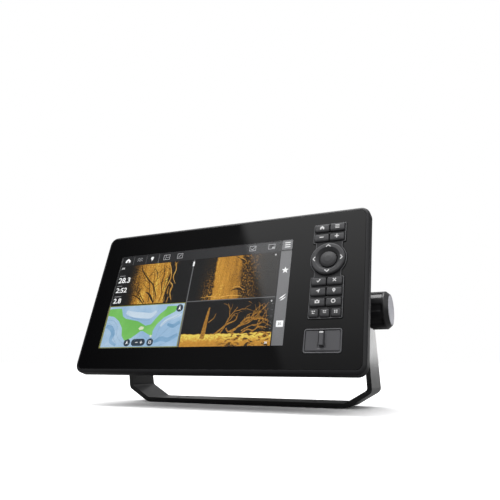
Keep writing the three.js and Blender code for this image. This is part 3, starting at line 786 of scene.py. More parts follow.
screen_piece("screen_base", [screen_plate(0, SCREEN[0], 0, SCREEN[1], "base")],
             lit("screen_black", "#0c0c0d"))
screen_piece("screen_toolbar", [screen_plate(0.1, SCREEN[0] - 0.1, *TOOLBAR, "panes")], toolbar_glow())
screen_piece("screen_dividers", [
    *screen_plates("marks", (94.5, 95.7, 0.2, 93.9), (95.7, 190.2, 46.4, 47.3), (15.8, 16.3, 94.8, 104.8),
                   (32.7, 33.1, 94.8, 104.8), (48.8, 49.5, 94.6, 105)),
], lit("divider_grey", "#69696b"))
screen_piece("echo_pane_left", [screen_plate(*PANES["left"], *PANES["high"], "panes")], echo_left())
screen_piece("echo_pane_right", [screen_plate(*PANES["right"], *PANES["high"], "panes")], echo_right())
screen_piece("echo_pane_bed", [screen_plate(*PANES["right"], *PANES["low"], "panes")], echo_bed())

def branches(rng, start, heading, length, width, forks):
    """The limbs of a branch that wanders and forks, each (points, widths)."""
    limbs, points, turn = [], [start], heading
    for step in range(5):
        turn += rng.uniform(-0.3, 0.3)
        last = points[-1]
        points.append((last[0] + length / 5 * math.cos(turn), last[1] + length / 5 * math.sin(turn)))
        if forks and step > 0:
            side = rng.choice((-1, 1)) * rng.uniform(0.4, 0.9)
            fork_length = length * rng.uniform(0.3, 0.55)
            limbs += branches(rng, points[-1], turn + side, fork_length, width * 0.6, forks - 1)
    limbs.append((points, [width, width * 0.8, width * 0.35]))
    return limbs


def twigs_in(pane, layer, *roots):
    """Ribbons for the limbs that stay inside a pane."""
    (left, right), (low, high) = pane
    ribbons = []
    for seed, start, heading_deg, *size in roots:
        for points, widths in branches(random.Random(seed), start, math.radians(heading_deg), *size):
            if all(left + 1 < x < right - 1 and low + 1 < z < high - 1 for x, z in points):
                ribbons.append(screen_ribbon(points, widths, layer))
    return ribbons


UPPER_LEFT = (PANES["left"], PANES["high"])
LOWER_RIGHT = (PANES["right"], PANES["low"])

# Dark branches over the strong echo, upper left
screen_piece("echo_shadows", [
    *twigs_in(UPPER_LEFT, "details", (3, (48, 49), 104, 36, 1, 2), (5, (55, 49), 96, 38, 0.9, 2),
              (8, (38, 49), 118, 26, 0.9, 2), (11, (43, 49), 130, 20, 1, 1), (14, (61, 49), 88, 36, 0.7, 1)),
    *screen_ribbons("details", [
        ([(29, 93), (32, 86), (42, 75), (49, 69), (55, 58), (57, 52)], [0.5, 1.3, 1.6, 1.4, 1.1, 0.4]),
        ([(17, 59.5), (29, 57), (36, 53), (42, 47.8)], [0.5, 1.2, 1.4, 0.9]),
        ([(42, 61), (47, 58), (51, 53), (54.5, 48)], [0.8, 2.2, 2.4, 1.2]),
        ([(66, 93), (69, 86), (71.5, 75), (68, 62), (66, 50)], [0.9, 1.5, 1.2, 1.6, 1]),
        ([(37, 66), (33, 61), (30, 51)], [0.4, 1, 0.5]),
        ([(47, 88), (52, 82), (53, 74)], [0.4, 1.1, 0.5]),
        ([(58, 91), (61, 80), (60, 70), (63, 57)], [0.4, 0.9, 1, 0.5]),
        ([(143.5, 93.2), (149, 90), (153, 87.5), (157, 88.5)], [0.5, 1.5, 2.4, 0.4]),
        ([(143, 56), (148, 57.5), (151.5, 57), (156, 54)], [0.5, 1.6, 2.6, 0.5]),
    ]),
], echo_strokes("echo_shadow", ("#231a10", "#3a2a16", "#1b1613")))
screen_piece("echo_twigs", [
    *screen_ribbons("marks", [
        ([(64.5, 93), (68, 86), (70, 75), (66.5, 63), (65, 50)], [0.5, 0.8, 0.9, 0.8, 0.5]),
        ([(73, 92), (74.5, 84), (73, 76), (77, 68)], [0.4, 0.8, 0.9, 0.3]),
        ([(70, 71), (74, 66), (73, 58), (76, 50)], [0.4, 1, 0.8, 0.4]),
        ([(55, 76), (59, 66), (61, 57), (60, 49)], [0.3, 0.8, 0.9, 0.4]),
        ([(111, 50.2), (121, 51), (131, 49.6), (143, 51), (156, 49.7)], [0.3, 0.8, 0.9, 0.8, 0.3]),
        ([(145, 91), (151, 90.2), (156, 86.5)], [0.3, 0.6, 0.3]),
        ([(144, 58.5), (150, 60.2), (156.5, 56)], [0.3, 0.6, 0.3]),
    ]),
], echo_strokes("echo_bright", ("#c78a3a", "#e0a648", "#f0cf72")))

# A sunken tree, lower right
TREE = (
    ([(119.6, 8), (120.6, 16), (121.4, 26), (122.2, 33), (123, 39.5)], [5.2, 4.2, 3.2, 2.6, 1.1]),
    ([(132.5, 12), (138, 16.5), (144, 21.5), (149, 23.5), (153, 26), (154.5, 31.5)],
     [1.6, 1.5, 1.6, 1.2, 1.1, 0.4]),
    ([(144, 18), (146, 15), (149, 14.3), (153, 15.5), (156, 19), (159, 21.5)],
     [1.3, 1.2, 1.1, 1.2, 1.2, 0.8]),
    ([(158.5, 22), (163, 26.5), (168, 27.5), (172.5, 25.5), (177.5, 26.5), (184, 24.5)],
     [1, 1.2, 1.4, 1.1, 1.2, 0.4]),
    ([(168, 27), (170.5, 31), (171, 34.5)], [0.8, 0.7, 0.3]),
    ([(160, 12), (166, 16), (172, 15), (178, 18.5), (185, 17)], [1.4, 1.4, 1.1, 1.1, 0.4]),
    ([(124, 24), (129, 28), (131, 33)], [0.9, 0.8, 0.3]),
    ([(175, 11), (180, 13.5), (187, 12)], [1.2, 1.1, 0.5]),
)
screen_piece("echo_tree", [
    *screen_ribbons("details", TREE),
    *twigs_in(LOWER_RIGHT, "details", (2, (138, 13), 38, 30, 1.1, 2), (4, (150, 14), 48, 30, 1.1, 2),
              (9, (160, 15), 30, 28, 1, 2), (12, (146, 14), 25, 36, 1, 2), (17, (170, 13), 36, 20, 0.8, 1)),
], echo_strokes("echo_branch", ("#5d3c18", "#a8742c", "#dca548"), (900, 1, 900)))

# Chart, lower left
LAND = [
    (0.9, 43.2), (16.5, 43.2), (20.4, 34.4), (24.9, 31.6), (41.7, 28.2), (51.8, 23.2), (58, 24.3),
    (61.4, 28.8), (66.4, 35), (72.6, 40), (73.8, 43.2), (85.5, 43.2), (84.4, 37.2), (72.1, 31.1),
    (65.3, 24.3), (62, 17.6), (62.5, 12.6), (59.2, 13.1), (50.2, 17.6), (47.4, 17.6), (37.3, 10.3),
    (29.4, 8), (24.9, 13.1), (22.7, 21.5), (16.5, 29.4), (8.7, 34.4), (0.9, 35.5),
]
screen_piece("chart_water", [screen_plate(0.2, 94.4, *PANES["low"], "panes", 2)],
             chart_ground("chart_water", ("#98bbdb", "#a9c7e2", "#c9dcec"), 22))
screen_piece("chart_deeps", [
    *screen_ribbons("details", [
        ([(2, 24), (8, 22), (13, 16), (12, 8), (20, 3)], [4, 5, 4.5, 4, 2.5]),
        ([(66, 6), (74, 9), (82, 8), (92, 13)], [3, 5, 4.5, 3.5]),
        ([(78, 24), (85, 22), (92, 26)], [2.5, 4, 3]),
    ]),
], chart_ground("chart_deeps", ("#6f9cc0", "#7ea8cb", "#92b6d6"), 60))
screen_piece("chart_shallows", [
    *screen_ribbons("details", [
        ([(24, 39), (34, 36), (46, 34.5), (56, 34), (62, 38)], [4, 6, 6.5, 6, 4]),
        ([(70, 22), (76, 28), (84, 31), (92, 34)], [2, 3, 3.2, 2.4]),
    ]),
], chart_ground("chart_shallows", ("#c4d8ea", "#d3e3f0"), 50))
screen_piece("chart_land", [screen_shape(fillet([(x, z, 1.6) for x, z in LAND], 4), "marks")],
             chart_ground("chart_land", ("#74bd5d", "#7cc465", "#8acb72"), 40))
CONTOURS = (
    [(1, 31), (9, 30), (16, 24), (18, 15), (24, 8), (32, 4.5), (40, 6.5), (48, 13)],
    [(1, 27.5), (7, 26), (13, 20), (15, 11), (21, 4.5)],
    [(53, 12), (60, 8), (67, 11), (69, 20), (76, 27), (86, 31), (94, 37)],
    [(57, 4), (66, 6), (74, 14), (82, 21), (94, 24)],
    [(24, 35), (36, 31.5), (50, 29), (57, 31), (64, 39)],
    [(72, 2), (80, 5), (88, 12), (94, 14)],
)
screen_piece("chart_contours", [screen_ribbon(points, [0.28, 0.28], "marks") for points in CONTOURS],
             lit("contour_blue", "#7f9dbd"))
screen_piece("chart_shore", [screen_frame(0.15, 94.5, 0.4, 46.3, 0.8, "top")], lit("shore_olive", "#8a8a45"))
BOAT = [(43.8, 20.2, 0.3), (46.2, 18.6, 0.5), (50.2, 19.4, 1), (50.4, 22, 1), (46.4, 22.6, 0.8)]
screen_piece("chart_boat", [
    screen_shape(fillet(BOAT), "top"),
    screen_shape(circle(1.2, (61, 12), 20), "top"),
], lit("boat_pale", "#dfe6c8"))
screen_piece("chart_buttons", [
    screen_shape(circle(3.9, (33.6, 5.7), 40), "marks"),
    screen_shape(circle(3.9, (61.6, 5.7), 40), "marks"),
    screen_shape(rounded((16.6, 7.4, 3.6), (47.3, 5.8)), "marks"),
    screen_shape(circle(3.9, (88.6, 40.6), 40), "marks"),
], lit("button_slate", "#33404c"))

# Marks in white and in grey
STAR = [(radius * math.cos(math.pi * (0.5 + i / 5)), radius * math.sin(math.pi * (0.5 + i / 5)))
        for i, radius in enumerate((3.7, 1.55) * 5)]
STAR_PLACE = (197.4, 73.4)
DROP = [(40.4, 97.4, 0.1), (42.3, 100.8, 0.6), (41.8, 102.6, 1), (39, 102.6, 1), (38.5, 100.8, 0.6)]
FIGURES = (
    ("100", (2.2, 90.4), 2), ("28.3", (2.1, 73.6), 6.3), ("2:52", (2.1, 62.1), 5.7),
    ("2.8", (2.3, 49.7), 5.7), ("0", (186.4, 42.2), 1.9), ("30", (184.4, 2.3), 1.9), ("0", (185.4, 90), 1.9),
)
screen_piece("marks_white", [
    screen_shape([(4.9, 98.2), (4.9, 100.6), (8.1, 103.2), (11.3, 100.6), (11.3, 98.2), (9, 98.2), (9, 100.2),
                  (7.2, 100.2), (7.2, 98.2)][::-1], "marks"),
    screen_shape(fillet(DROP), "marks"),
    screen_plate(94.1, 96.1, 86.2, 91.8, "top", 0.9),
    screen_shape(moved(STAR, STAR_PLACE), "top"),
    *screen_ribbons("top", [
        ([(194.4, 44.6), (197, 46.2), (200.4, 49)], [0.4, 1.5, 0.3]),
        ([(195.4, 42.8), (197.8, 44.2), (200.6, 46.2)], [0.3, 1.2, 0.3]),
    ]),
    screen_plate(194, 200.8, 17.4, 23.4, "top"),
    *screen_plates("top", (44, 47, 5.5, 6.1, 0.2), (49.6, 52.6, 5.5, 6.1, 0.2), (50.8, 51.4, 4.3, 7.3, 0.2)),
    screen_shape([(87.2, 38.4), (88.6, 39.6), (90, 38.4), (88.6, 43.4)], "top"),
    screen_shape([(32.3, 4), (33.6, 5), (34.9, 4), (33.6, 8)], "top"),
    screen_frame(60.2, 63, 4.4, 7.2, 0.5, "top"),
    *[screen_plate(194.6, 200.2, level, level + 0.8, "top", 0.3) for level in (97.8, 100.1, 102.4)],
    *[digits(text, on_screen([place])[0], height, LAYER["marks"]) for text, place, height in FIGURES],
], lit("mark_white", "#ffffff", 0.03, 1.05))
screen_piece("marks_pale", [
    screen_frame(55.3, 63.1, 97.2, 103.2, 0.5, "marks"),
    *screen_plates("marks", (57.9, 58.3, 97.5, 102.9, 0.1), (58.5, 62.8, 99.9, 100.3, 0.1)),
    screen_frame(72.5, 79.2, 97.4, 103.2, 0.5, "marks"),
    screen_stroke([(74.2, 98.8), (77.5, 101.8)], 0.6, "marks"),
    screen_frame(157, 164, 97.4, 103, 0.5, "marks"),
    screen_stroke([(158.6, 100), (160.3, 98.8), (163.6, 102.2)], 0.6, "marks"),
    screen_frame(177.3, 184.3, 97.4, 103, 0.5, "marks"),
    screen_plate(181.2, 183.6, 98.2, 99.9, "marks", 0.2),
], lit("mark_pale", "#bdbdbf", 0.05))
screen_piece("marks_grey", [
    *[screen_ribbon([(20.8, z), (22.6, z + 1.6), (24.2, z), (25.8, z + 1.6), (27.6, z)], [0.6, 0.6], "marks")
      for z in (98.6, 101)],
    *[screen_plate(2.2, right, level, level + 0.7, "marks", 0.2)
      for right, level in ((9.6, 81.6), (8.6, 69.4), (11, 57))],
    *[screen_plate(187.9, 189, level, level + 0.3, "marks", 0.1) for level in range(4, 42, 6)],
], lit("mark_grey", "#9a9a9c"))
screen_piece("sidebar_panels", [
    screen_plate(*SIDEBAR, 0.2, 93.9, "panes"),
    screen_plate(SIDEBAR[0] + 0.6, SIDEBAR[1], 95.4, 105.2, "marks", 0.8),
], sidebar_glow())
screen_piece("sidebar_figures", [
    digits("25", on_screen([(195.6, 19.3)])[0], 2.2, LAYER["top"] - 0.05),
], lit("mark_dark", "#77777a"))


# ---------- keypad ----------

def key_layout(row):
    """The place of each key in a row: (name, x, z, width)."""
    z, names = row
    width, pitch = TWO_KEYS if len(names) == 2 else THREE_KEYS
    return [(name, PAD_X + pitch * (i - (len(names) - 1) / 2), z, width) for i, name in enumerate(names)]


def row_window(row):
    """One opening for a pair of keys, or one for each of three."""
    z, names = row
    (pair_width, pair_pitch), gap = TWO_KEYS, 2 * CLEARANCE
    openings = [(PAD_X, pair_width + pair_pitch)]
    if len(names) == 3:
        openings = [(x, width) for _, x, _, width in key_layout(row)]
    return [rounded((width + gap, KEY_HEIGHT + gap, 1.4), (x, z), steps=6) for x, width in openings]


RING_PLACE = (PAD_X, RING_Z)
windows = [window for row in KEY_ROWS for window in row_window(row)]
piece("keypad_frame", [plate([keypad_outline(), circle(RING_RADIUS + 0.4, RING_PLACE, 96), *windows],
                             -0.8, 2.5, bevel=0.35)],
      "surround", nodes=["keypad_surround"])


# A lighter bead round the keypad's front edge: a painted highlight on the surround's bevel
piece("keypad_highlight_bead", [bead(keypad_outline(-0.45), -0.72, 0.42)], "rim_highlight")

CAP = {
    "corner": 1.3, "face_corner": 1, "side_slope": 1, "end_slope": 2.2, "lift": 0.45, "shoulder": -1,
    "rise": 1.45,
}
CROWN = ((0.85, -2.5), (0.6, -2.56), (0.3, -2.6))


def key_cap(x, z, width):
    """A cap with rounded shoulders, whose lower side slopes most, and a faintly crowned face."""
    corner, face_corner = CAP["corner"], CAP["face_corner"]
    sections = [(rounded((width, KEY_HEIGHT, corner), (x, z), steps=6), KEY_BOTTOM)]
    for step in range(7):
        turn = math.pi / 2 * step / 6
        inwards = 1 - math.cos(turn)
        size = (width - CAP["side_slope"] * inwards, KEY_HEIGHT - CAP["end_slope"] * inwards,
                corner - 0.3 * inwards)
        depth = CAP["shoulder"] - CAP["rise"] * math.sin(turn)
        sections.append((rounded(size, (x, z + CAP["lift"] * inwards), steps=6), depth))
    for shrink, depth in CROWN:
        face = (width - CAP["side_slope"], KEY_HEIGHT - CAP["end_slope"], face_corner)
        size = tuple(side * shrink for side in face)
        sections.append((rounded(size, (x, z + CAP["lift"]), steps=6), depth))
    return loft(sections)


ICON_BACK = -2.45
ICON_FRONT = -2.68


def icon_plate(*outlines, front=ICON_FRONT, back=ICON_BACK):
    return plate(outlines, front, back, bevel=0.04, steps=2)


def icon_shapes(name):
    """White shapes for a key, about the key's centre."""
    def line(points, width=0.75):
        return [stroke(points, width)]

    house = [(-2, -1.8), (-0.6, -1.8), (-0.6, -0.5), (0.6, -0.5), (0.6, -1.8), (2, -1.8), (2, 0.3), (0, 2.1),
             (-2, 0.3)]
    pin = [(0, -2.1, 0), (1.5, 0.2, 0.8), (1.1, 1.9, 1), (-1.1, 1.9, 1), (-1.5, 0.2, 0.8)]
    camera = [(-2.1, -1.5), (2.1, -1.5), (2.1, 1.1), (1, 1.1), (0.6, 1.8), (-0.6, 1.8), (-1, 1.1),
              (-2.1, 1.1)]
    small_panes = [[rounded((1.3, 1, 0.2), (side, 1.1), steps=2)] for side in (-1, 1)]
    wedge = [(-1.9, -1.5), (1.8, -1.5), (-1.6, 0.2)]
    shapes = {
        "key_home": [[house]],
        "key_menu": [[rounded((4, 0.75, 0.2), (0, level), steps=2)] for level in (-1.5, 0, 1.5)],
        "key_minus": [[rounded((3.9, 0.9, 0.2), steps=2)]],
        "key_plus": [[[(-0.45, -2), (0.45, -2), (0.45, -0.45), (2, -0.45), (2, 0.45), (0.45, 0.45),
                       (0.45, 2), (-0.45, 2), (-0.45, 0.45), (-2, 0.45), (-2, -0.45), (-0.45, -0.45)]]],
        "key_check": [line([(-1.5, 0), (-0.4, -1.2), (1.6, 1.4)], 0.85)],
        "key_cancel": [line([(-1.4, -1.4), (1.4, 1.4)], 0.85), line([(-1.4, 1.4), (-0.1, 0.1)], 0.85),
                       line([(0.1, -0.1), (1.4, -1.4)], 0.85)],
        "key_navigate": [[[(-1.9, 0.2), (0, -0.3), (0.5, -2), (2, 1.9)]]],
        "key_mark": [[fillet(pin), circle(0.5, (0, 0.7), 16)]],
        "key_camera": [[camera, circle(0.75, (0, -0.2), 20)]],
        "key_clock": [[circle(2, steps=32), circle(1.15, steps=24)]],
        "key_view_1": [*small_panes, [moved(wedge, (0.3, -0.1), 0.9)]],
        "key_view_2": [*small_panes, [rounded((3.2, 0.6, 0.2), (0.1, -0.7), steps=2)]],
        "key_view_3": [*small_panes, [circle(0.7, (-0.9, -0.7), 16)], [circle(0.7, (1, -0.7), 16)]],
    }
    return shapes[name]


ICON_RISE = 0.55
for row in KEY_ROWS:
    for name, x, z, width in key_layout(row):
        piece(f"{name}_cap", [key_cap(x, z, width)], "key", body=name, nodes=[name])
        scale = 1 if len(row[1]) == 2 else 0.9
        plates = [icon_plate(*[moved(outline, (x, z + ICON_RISE), scale) for outline in group])
                  for group in icon_shapes(name)]
        piece(f"{name}_icon", plates, "print", body=name)

RING_TOP = -3.4
ring_profile_points = fillet([
    (8.5, 1, 0.2), (RING_RADIUS, 1, 0.2), (RING_RADIUS, -2.6, 1.6), (14.6, RING_TOP, 0.9), (11.6, -3.42, 0.8),
    (8.5, -0.6, 0.4),
], 6)
piece("arrow_ring_cap", [lathe(ring_profile_points, RING_PLACE, 128)], "key",
      body="arrow_ring", nodes=["arrow_ring"])


def chevron(turn):
    tip, arm, spread = 13.5, 11.7, 2.1
    points = [(arm, -spread), (tip, 0), (arm, spread)]
    cosine, sine = math.cos(turn), math.sin(turn)
    turned = [(x * cosine - z * sine, x * sine + z * cosine) for x, z in points]
    return icon_plate(moved(stroke(turned, 0.9), RING_PLACE), front=RING_TOP - 0.09, back=RING_TOP + 0.15)


piece("arrow_ring_icons", [chevron(math.pi / 2 * side) for side in range(4)], "print",
      body="arrow_ring")
button_profile = fillet([
    (0, KEY_BOTTOM, 0), (8, KEY_BOTTOM, 0.2), (8, -1.5, 1), (6.2, -2.5, 1.6), (3, -3.1, 1.6), (0, -3.2, 0),
], 6, closed=False)
piece("centre_button_cap", [lathe(button_profile, RING_PLACE, 96)], "key",
      body="centre_button", nodes=["centre_button"])


# ---------- card door ----------

BAR = {"x": -0.6, "z": 1.9, "width": 4.2, "height": 13.1, "proud": 2.6}
SCOOP = {"radius": 9, "centre_depth": -8}
PIN_RADIUS = 0.75


def soft_box(x, z, width, height, edge):
    """1 inside a rectangle and 0 outside, with a rounded step of the given width inside its edge."""
    gap = min(width / 2 - abs(x), height / 2 - abs(z))
    t = max(0, min(1, gap / edge))
    return math.sin(math.pi / 2 * t)


def door_front_depth(x, z):
    """Depth of the door's front, at a point from the middle of the panel."""
    bar_x, bar_z = x - BAR["x"], z - BAR["z"] + DOOR["barrel"] / 2
    depth = 0.35 * (1 - soft_box(x, z, DOOR["width"], DOOR["height"] - DOOR["barrel"], 0.5))
    scoop_z = bar_z + BAR["height"] / 2 + 0.6
    across = SCOOP["radius"] ** 2 - bar_x ** 2 - scoop_z ** 2
    if across > 0:
        depth = max(depth, SCOOP["centre_depth"] + math.sqrt(across))
    groove = soft_box(bar_x + 0.5, bar_z - 0.2, BAR["width"] + 1.6, BAR["height"] + 0.8, 0.5)
    depth = max(depth, 0.8 * groove)
    raised = soft_box(bar_x, bar_z, BAR["width"], BAR["height"], 0.55)
    return depth * (1 - raised) - BAR["proud"] * raised


def door_panel():
    """The panel as a grid in front and behind, with its corners drawn in."""
    width, height, radius = DOOR["width"], DOOR["height"] - DOOR["barrel"], 1.2
    columns, rows = 122, 67
    middle = (DOOR["x"], DOOR["z"] + DOOR["barrel"] / 2)
    vertices, faces = [], []
    for side in (0, 1):
        for row in range(rows + 1):
            for column in range(columns + 1):
                x, z = width * (column / columns - 0.5), height * (row / rows - 0.5)
                over_x, over_z = abs(x) - (width / 2 - radius), abs(z) - (height / 2 - radius)
                if over_x > 0 and over_z > 0:
                    shrink = max(over_x, over_z) / math.hypot(over_x, over_z)
                    x = math.copysign(width / 2 - radius + over_x * shrink, x)
                    z = math.copysign(height / 2 - radius + over_z * shrink, z)
                depth = DOOR["thickness"] if side else door_front_depth(x, z)
                vertices.append((middle[0] + x, FRONT_Y + depth, middle[1] + z))
    line, sheet = columns + 1, (columns + 1) * (rows + 1)
    for row in range(rows):
        for column in range(columns):
            a = row * line + column
            faces.append((a, a + 1, a + line + 1, a + line))
            faces.append((sheet + a, sheet + a + line, sheet + a + line + 1, sheet + a + 1))
    border = list(range(columns)) + [columns + row * line for row in range(rows)]
    border += [rows * line + column for column in range(columns, 0, -1)]
    border += [row * line for row in range(rows, 0, -1)]
    for here, there in zip(border, border[1:] + border[:1]):
        faces.append((here, sheet + here, sheet + there, there))
    return vertices, faces


def rod(radius, length, x, depth, z, segments=32):
    """A round bar along X."""
    edge = min(0.3, radius / 3)
    half = length / 2
    corners = [(0, -half, 0), (radius, -half, edge), (radius, half, edge), (0, half, 0)]
    profile = fillet(corners, 3, closed=False)
    vertices, faces = lathe(profile, segments=segments, across=1)
    return [(x + vx, FRONT_Y + depth + vy, z + vz) for vx, vy, vz in vertices], faces


door_barrel = rod(DOOR["barrel"], DOOR["width"], DOOR["x"], DOOR["barrel"], DOOR_AXIS_Z, 48)
piece("card_door_panel", [door_panel(), door_barrel], "door", body="card_door",
      nodes=["card_door"], sharp_deg=50)
bar_place = (DOOR["x"] + BAR["x"], DOOR["z"] + BAR["z"])
piece("card_door_mark", [icon_plate(rounded((3.4, 1.3, 0.3), (bar_place[0], bar_place[1] + 5), steps=3),
                                    front=-2.66, back=-2.4)],
      "print", body="card_door")
bay_frame = plate([rounded(BAY, DOOR_PLACE), rounded(BAY, DOOR_PLACE, -1.2)],
                  BAY_DEPTH[0], BAY_DEPTH[1] + 0.5, bevel=0.35)
bay_floor = plate([rounded(BAY, DOOR_PLACE), rounded((24, 11, 0.8), (DOOR["x"], DOOR["z"] + 1.5))],
                  BAY_DEPTH[1], BAY_DEPTH[2])
piece("card_bay_frame", [bay_frame, bay_floor], "door_frame", nodes=["card_bay"])
piece("card_hinge_pin", [rod(PIN_RADIUS, BAY[0] - 0.4, DOOR["x"], DOOR["barrel"], DOOR_AXIS_Z, 24)],
      "steel", nodes=["card_door_pin"])


# ---------- rear housing ----------

def rear_cup():
    """The box behind the flange, open to the front."""
    width, height, radius = REAR_BOX
    inner = (width - 2 * REAR_WALL, height - 2 * REAR_WALL, radius - REAR_WALL)
    edge = 4
    sections = [(rounded(inner), REAR_BACK - REAR_BACK_WALL), (rounded(inner), FLANGE_DEPTH[0]),
                (rounded(REAR_BOX), FLANGE_DEPTH[0]), (rounded(REAR_BOX), REAR_BACK - edge)]
    for step in range(1, 7):
        turn = math.pi / 2 * step / 6
        inset = edge * (1 - math.cos(turn))
        sections.append((rounded(REAR_BOX, grow=-inset), REAR_BACK - edge * (1 - math.sin(turn))))
    return loft(sections)


fins = []
for index in range(FIN["count"]):
    fin_place = (FIN["pitch"] * (index - (FIN["count"] - 1) / 2), FIN["z"])
    outline = rounded((FIN["thickness"], FIN["height"], 1), fin_place, steps=4)
    fins.append(plate([outline], REAR_BACK - 1, FIN["back"], bevel=0.5))
flange = plate([rounded(FLANGE), rounded(REAR_BOX, grow=-1),
                *[circle(1.8, place, 20) for place in SCREW_PLACES]], *FLANGE_DEPTH, bevel=0.5)
pivot_bosses = [lathe(ring_profile(7.3, 10.5, 120, 126, 0.4), across=side) for side in (-1, 1)]
piece("rear_casting", [rear_cup(), flange, *fins, *pivot_bosses], "cast",
      nodes=["rear_housing"])


def recess_lobes(radius, depth, angle):
    """Six lobes in a screw's socket."""
    return radius * (1 + 0.16 * math.cos(6 * angle)) if radius <= 1.6 and depth > 31 else radius


screw_profile = fillet([
    (0, 14, 0), (1.45, 14.6, 0.2), (1.45, 30.7, 0.1), (3.2, 30.7, 0.15), (3.2, 32, 0.6), (2.4, 32.7, 0.5),
    (1.5, 32.7, 0.1), (1.45, 31.5, 0.1), (0, 31.3, 0),
], 3, closed=False)
for index, place in enumerate(SCREW_PLACES):
    name = f"rear_screw_{index + 1}"
    piece(f"{name}_turned", [lathe(screw_profile, place, 48, ripple=recess_lobes)], "steel",
          nodes=[name])


def collar_grip(radius, depth, angle):
    """Shallow ribs round the collar of a socket."""
    return radius - 0.18 * (1 + math.cos(24 * angle)) if radius > 9.2 and 85.5 < depth < 91.5 else radius


socket_profile = fillet([
    (0, 77, 0), (8.6, 77, 0.3), (8.6, 82.3, 0.1), (11, 82.3, 0.3), (11, 84.5, 0.6), (9.5, 84.5, 0.2),
    (9.5, 86, 0.1), (9.5, 91, 0.1), (9.5, 92, 0.4), (7.6, 92, 0.4), (7.6, 80, 0.2), (0, 80, 0),
], 4, closed=False)
CONTACT_CIRCLE = 4.6
contact_profile = fillet([(0, 79.5, 0), (0.9, 79.5, 0), (0.9, 84, 0.5), (0, 84, 0)], 3, closed=False)
for name, x, pins in SOCKETS:
    contacts = []
    for index in range(pins):
        turn = math.tau * (index + 0.25) / pins
        place = (x + CONTACT_CIRCLE * math.cos(turn), SOCKET_Z + CONTACT_CIRCLE * math.sin(turn))
        contacts.append(lathe(contact_profile, place, 16))
    piece(f"{name}_shell", [lathe(socket_profile, (x, SOCKET_Z), 96, ripple=collar_grip)], "black",
          nodes=[name])
    piece(f"{name}_pins", contacts, "brass")

vent_profile = fillet([
    (0, 78, 0), (3.2, 78, 0.3), (3.2, 82.3, 0.1), (6, 82.3, 0.2), (6, 83.6, 0.4), (4.6, 84.6, 0.5),
    (0, 84.6, 0),
], 4, closed=False)
piece("vent_cap", [lathe(vent_profile, (VENT_X, SOCKET_Z), 48)], "black",
      nodes=["vent_plug"])
piece("gasket_frame", [plate([rounded(FLANGE), rounded(FLANGE, grow=-6.5)], 26.25, 27.15, bevel=0.2)],
      "soft", nodes=["housing_gasket"])


# ---------- pivots, washers and knobs ----------

KNOB = {"radius": 17.6, "inner": 138.2, "ridges_end": 151.8, "shoulder": 153, "end": 156.7}
STUD_BORE = 4.6
FLUTE = {"count": 8, "depth": 1.2, "phase": math.radians(12.7), "half": math.radians(11.5), "run_out": 1.6}


def flutes(radius, along, angle):
    """Wide shallow grooves along the barrel that run out in round ends before the shoulder."""
    if radius < KNOB["radius"] - 0.7:
        return radius
    pitch = math.tau / FLUTE["count"]
    off = (angle - FLUTE["phase"] + pitch / 2) % pitch - pitch / 2
    side = min(1, abs(off) / FLUTE["half"])
    reach = max(0, min(1, (KNOB["ridges_end"] - along) / FLUTE["run_out"]))
    end = math.sqrt(1 - (1 - reach) ** 2)
    share = max(0, 1 - (side / max(end, 1e-3)) ** 4) if reach else 0
    return radius - FLUTE["depth"] * math.sqrt(share) * end


barrel_rows = [(KNOB["radius"], 139 + step, 0) for step in range(0, 11, 2)]
barrel_rows += [(KNOB["radius"], 150 + 0.2 * step, 0) for step in range(11)]
grip_profile = fillet([
    (0, 150.3, 0), (4.3, 150.3, 0.2), (4.3, KNOB["inner"], 0.3), (KNOB["radius"], KNOB["inner"], 0.6),
    *barrel_rows, (KNOB["radius"], KNOB["shoulder"], 0.9), (14.5, KNOB["end"], 0.5), (14.1, KNOB["end"], 0.1),
    (14.1, 154, 0.1), (0, 154, 0),
], 5, closed=False)
cap_profile = fillet([
    (0, 154.3, 0), (13.8, 154.3, 0.2), (13.8, 157, 0.6), (12.6, 156.85, 0.5), (0, 156.85, 0),
], 5, closed=False)
for label, side in (("left", -1), ("right", 1)):
    stud_profile = fillet([(0, 114, 0), (4, 114, 0.8), (4, 150, 0.5), (0, 150, 0)], 4, False)
    turned_parts = (
        ("pivot_insert", ring_profile(STUD_BORE, 7, 112.5, 126.6), "brass", "brass", "display_head"),
        ("friction_washer", ring_profile(STUD_BORE, 16, 127.3, 131.6, 0.5), "soft", "soft_rubber", "bracket"),
        ("knob_washer", ring_profile(STUD_BORE, 11, 136.7, 137.9), "steel", "bare_metal",
         f"{label}_knob_carriage"),
        ("knob_stud", stud_profile, "steel", "bare_metal", f"{label}_knob"),
        ("knob_cap", cap_profile, "cap", "knob_cap", f"{label}_knob"),
    )
    for part, profile, material, slot, body in turned_parts:
        piece(f"{label}_{part}_turned", [lathe(profile, across=side, segments=96)], material,
              body=body, nodes=[f"{label}_{part}"])
    piece(f"{label}_knob_barrel", [lathe(grip_profile, across=side, segments=256, ripple=flutes)], "knob",
          body=f"{label}_knob", nodes=[f"{label}_knob_grip"], sharp_deg=60)


# ---------- bracket ----------

def softened_copy(node, name, width):
    """The CAD shape with its flat faces whole again and its edges rounded."""
    mesh = frame["nodes"][node].data.copy()
    mesh.name = name
    shape = bmesh.new()
    shape.from_mesh(mesh)
    bmesh.ops.remove_doubles(shape, verts=shape.verts, dist=1e-6)
    bmesh.ops.dissolve_limit(shape, angle_limit=math.radians(1), verts=shape.verts, edges=shape.edges)
    shape.to_mesh(mesh)
    shape.free()
    mesh.shade_smooth()
    mesh.set_sharp_from_angle(angle=math.radians(35))
    made = in_scene(name, mesh)
    rounding = made.modifiers.new("rounded edges", "BEVEL")
    rounding.width = width * MM
    rounding.segments = 3
    rounding.limit_method = "ANGLE"
    rounding.angle_limit = math.radians(38)
    rounding.harden_normals = False
    made.modifiers.new("even shading", "WEIGHTED_NORMAL").keep_sharp = True
    return made


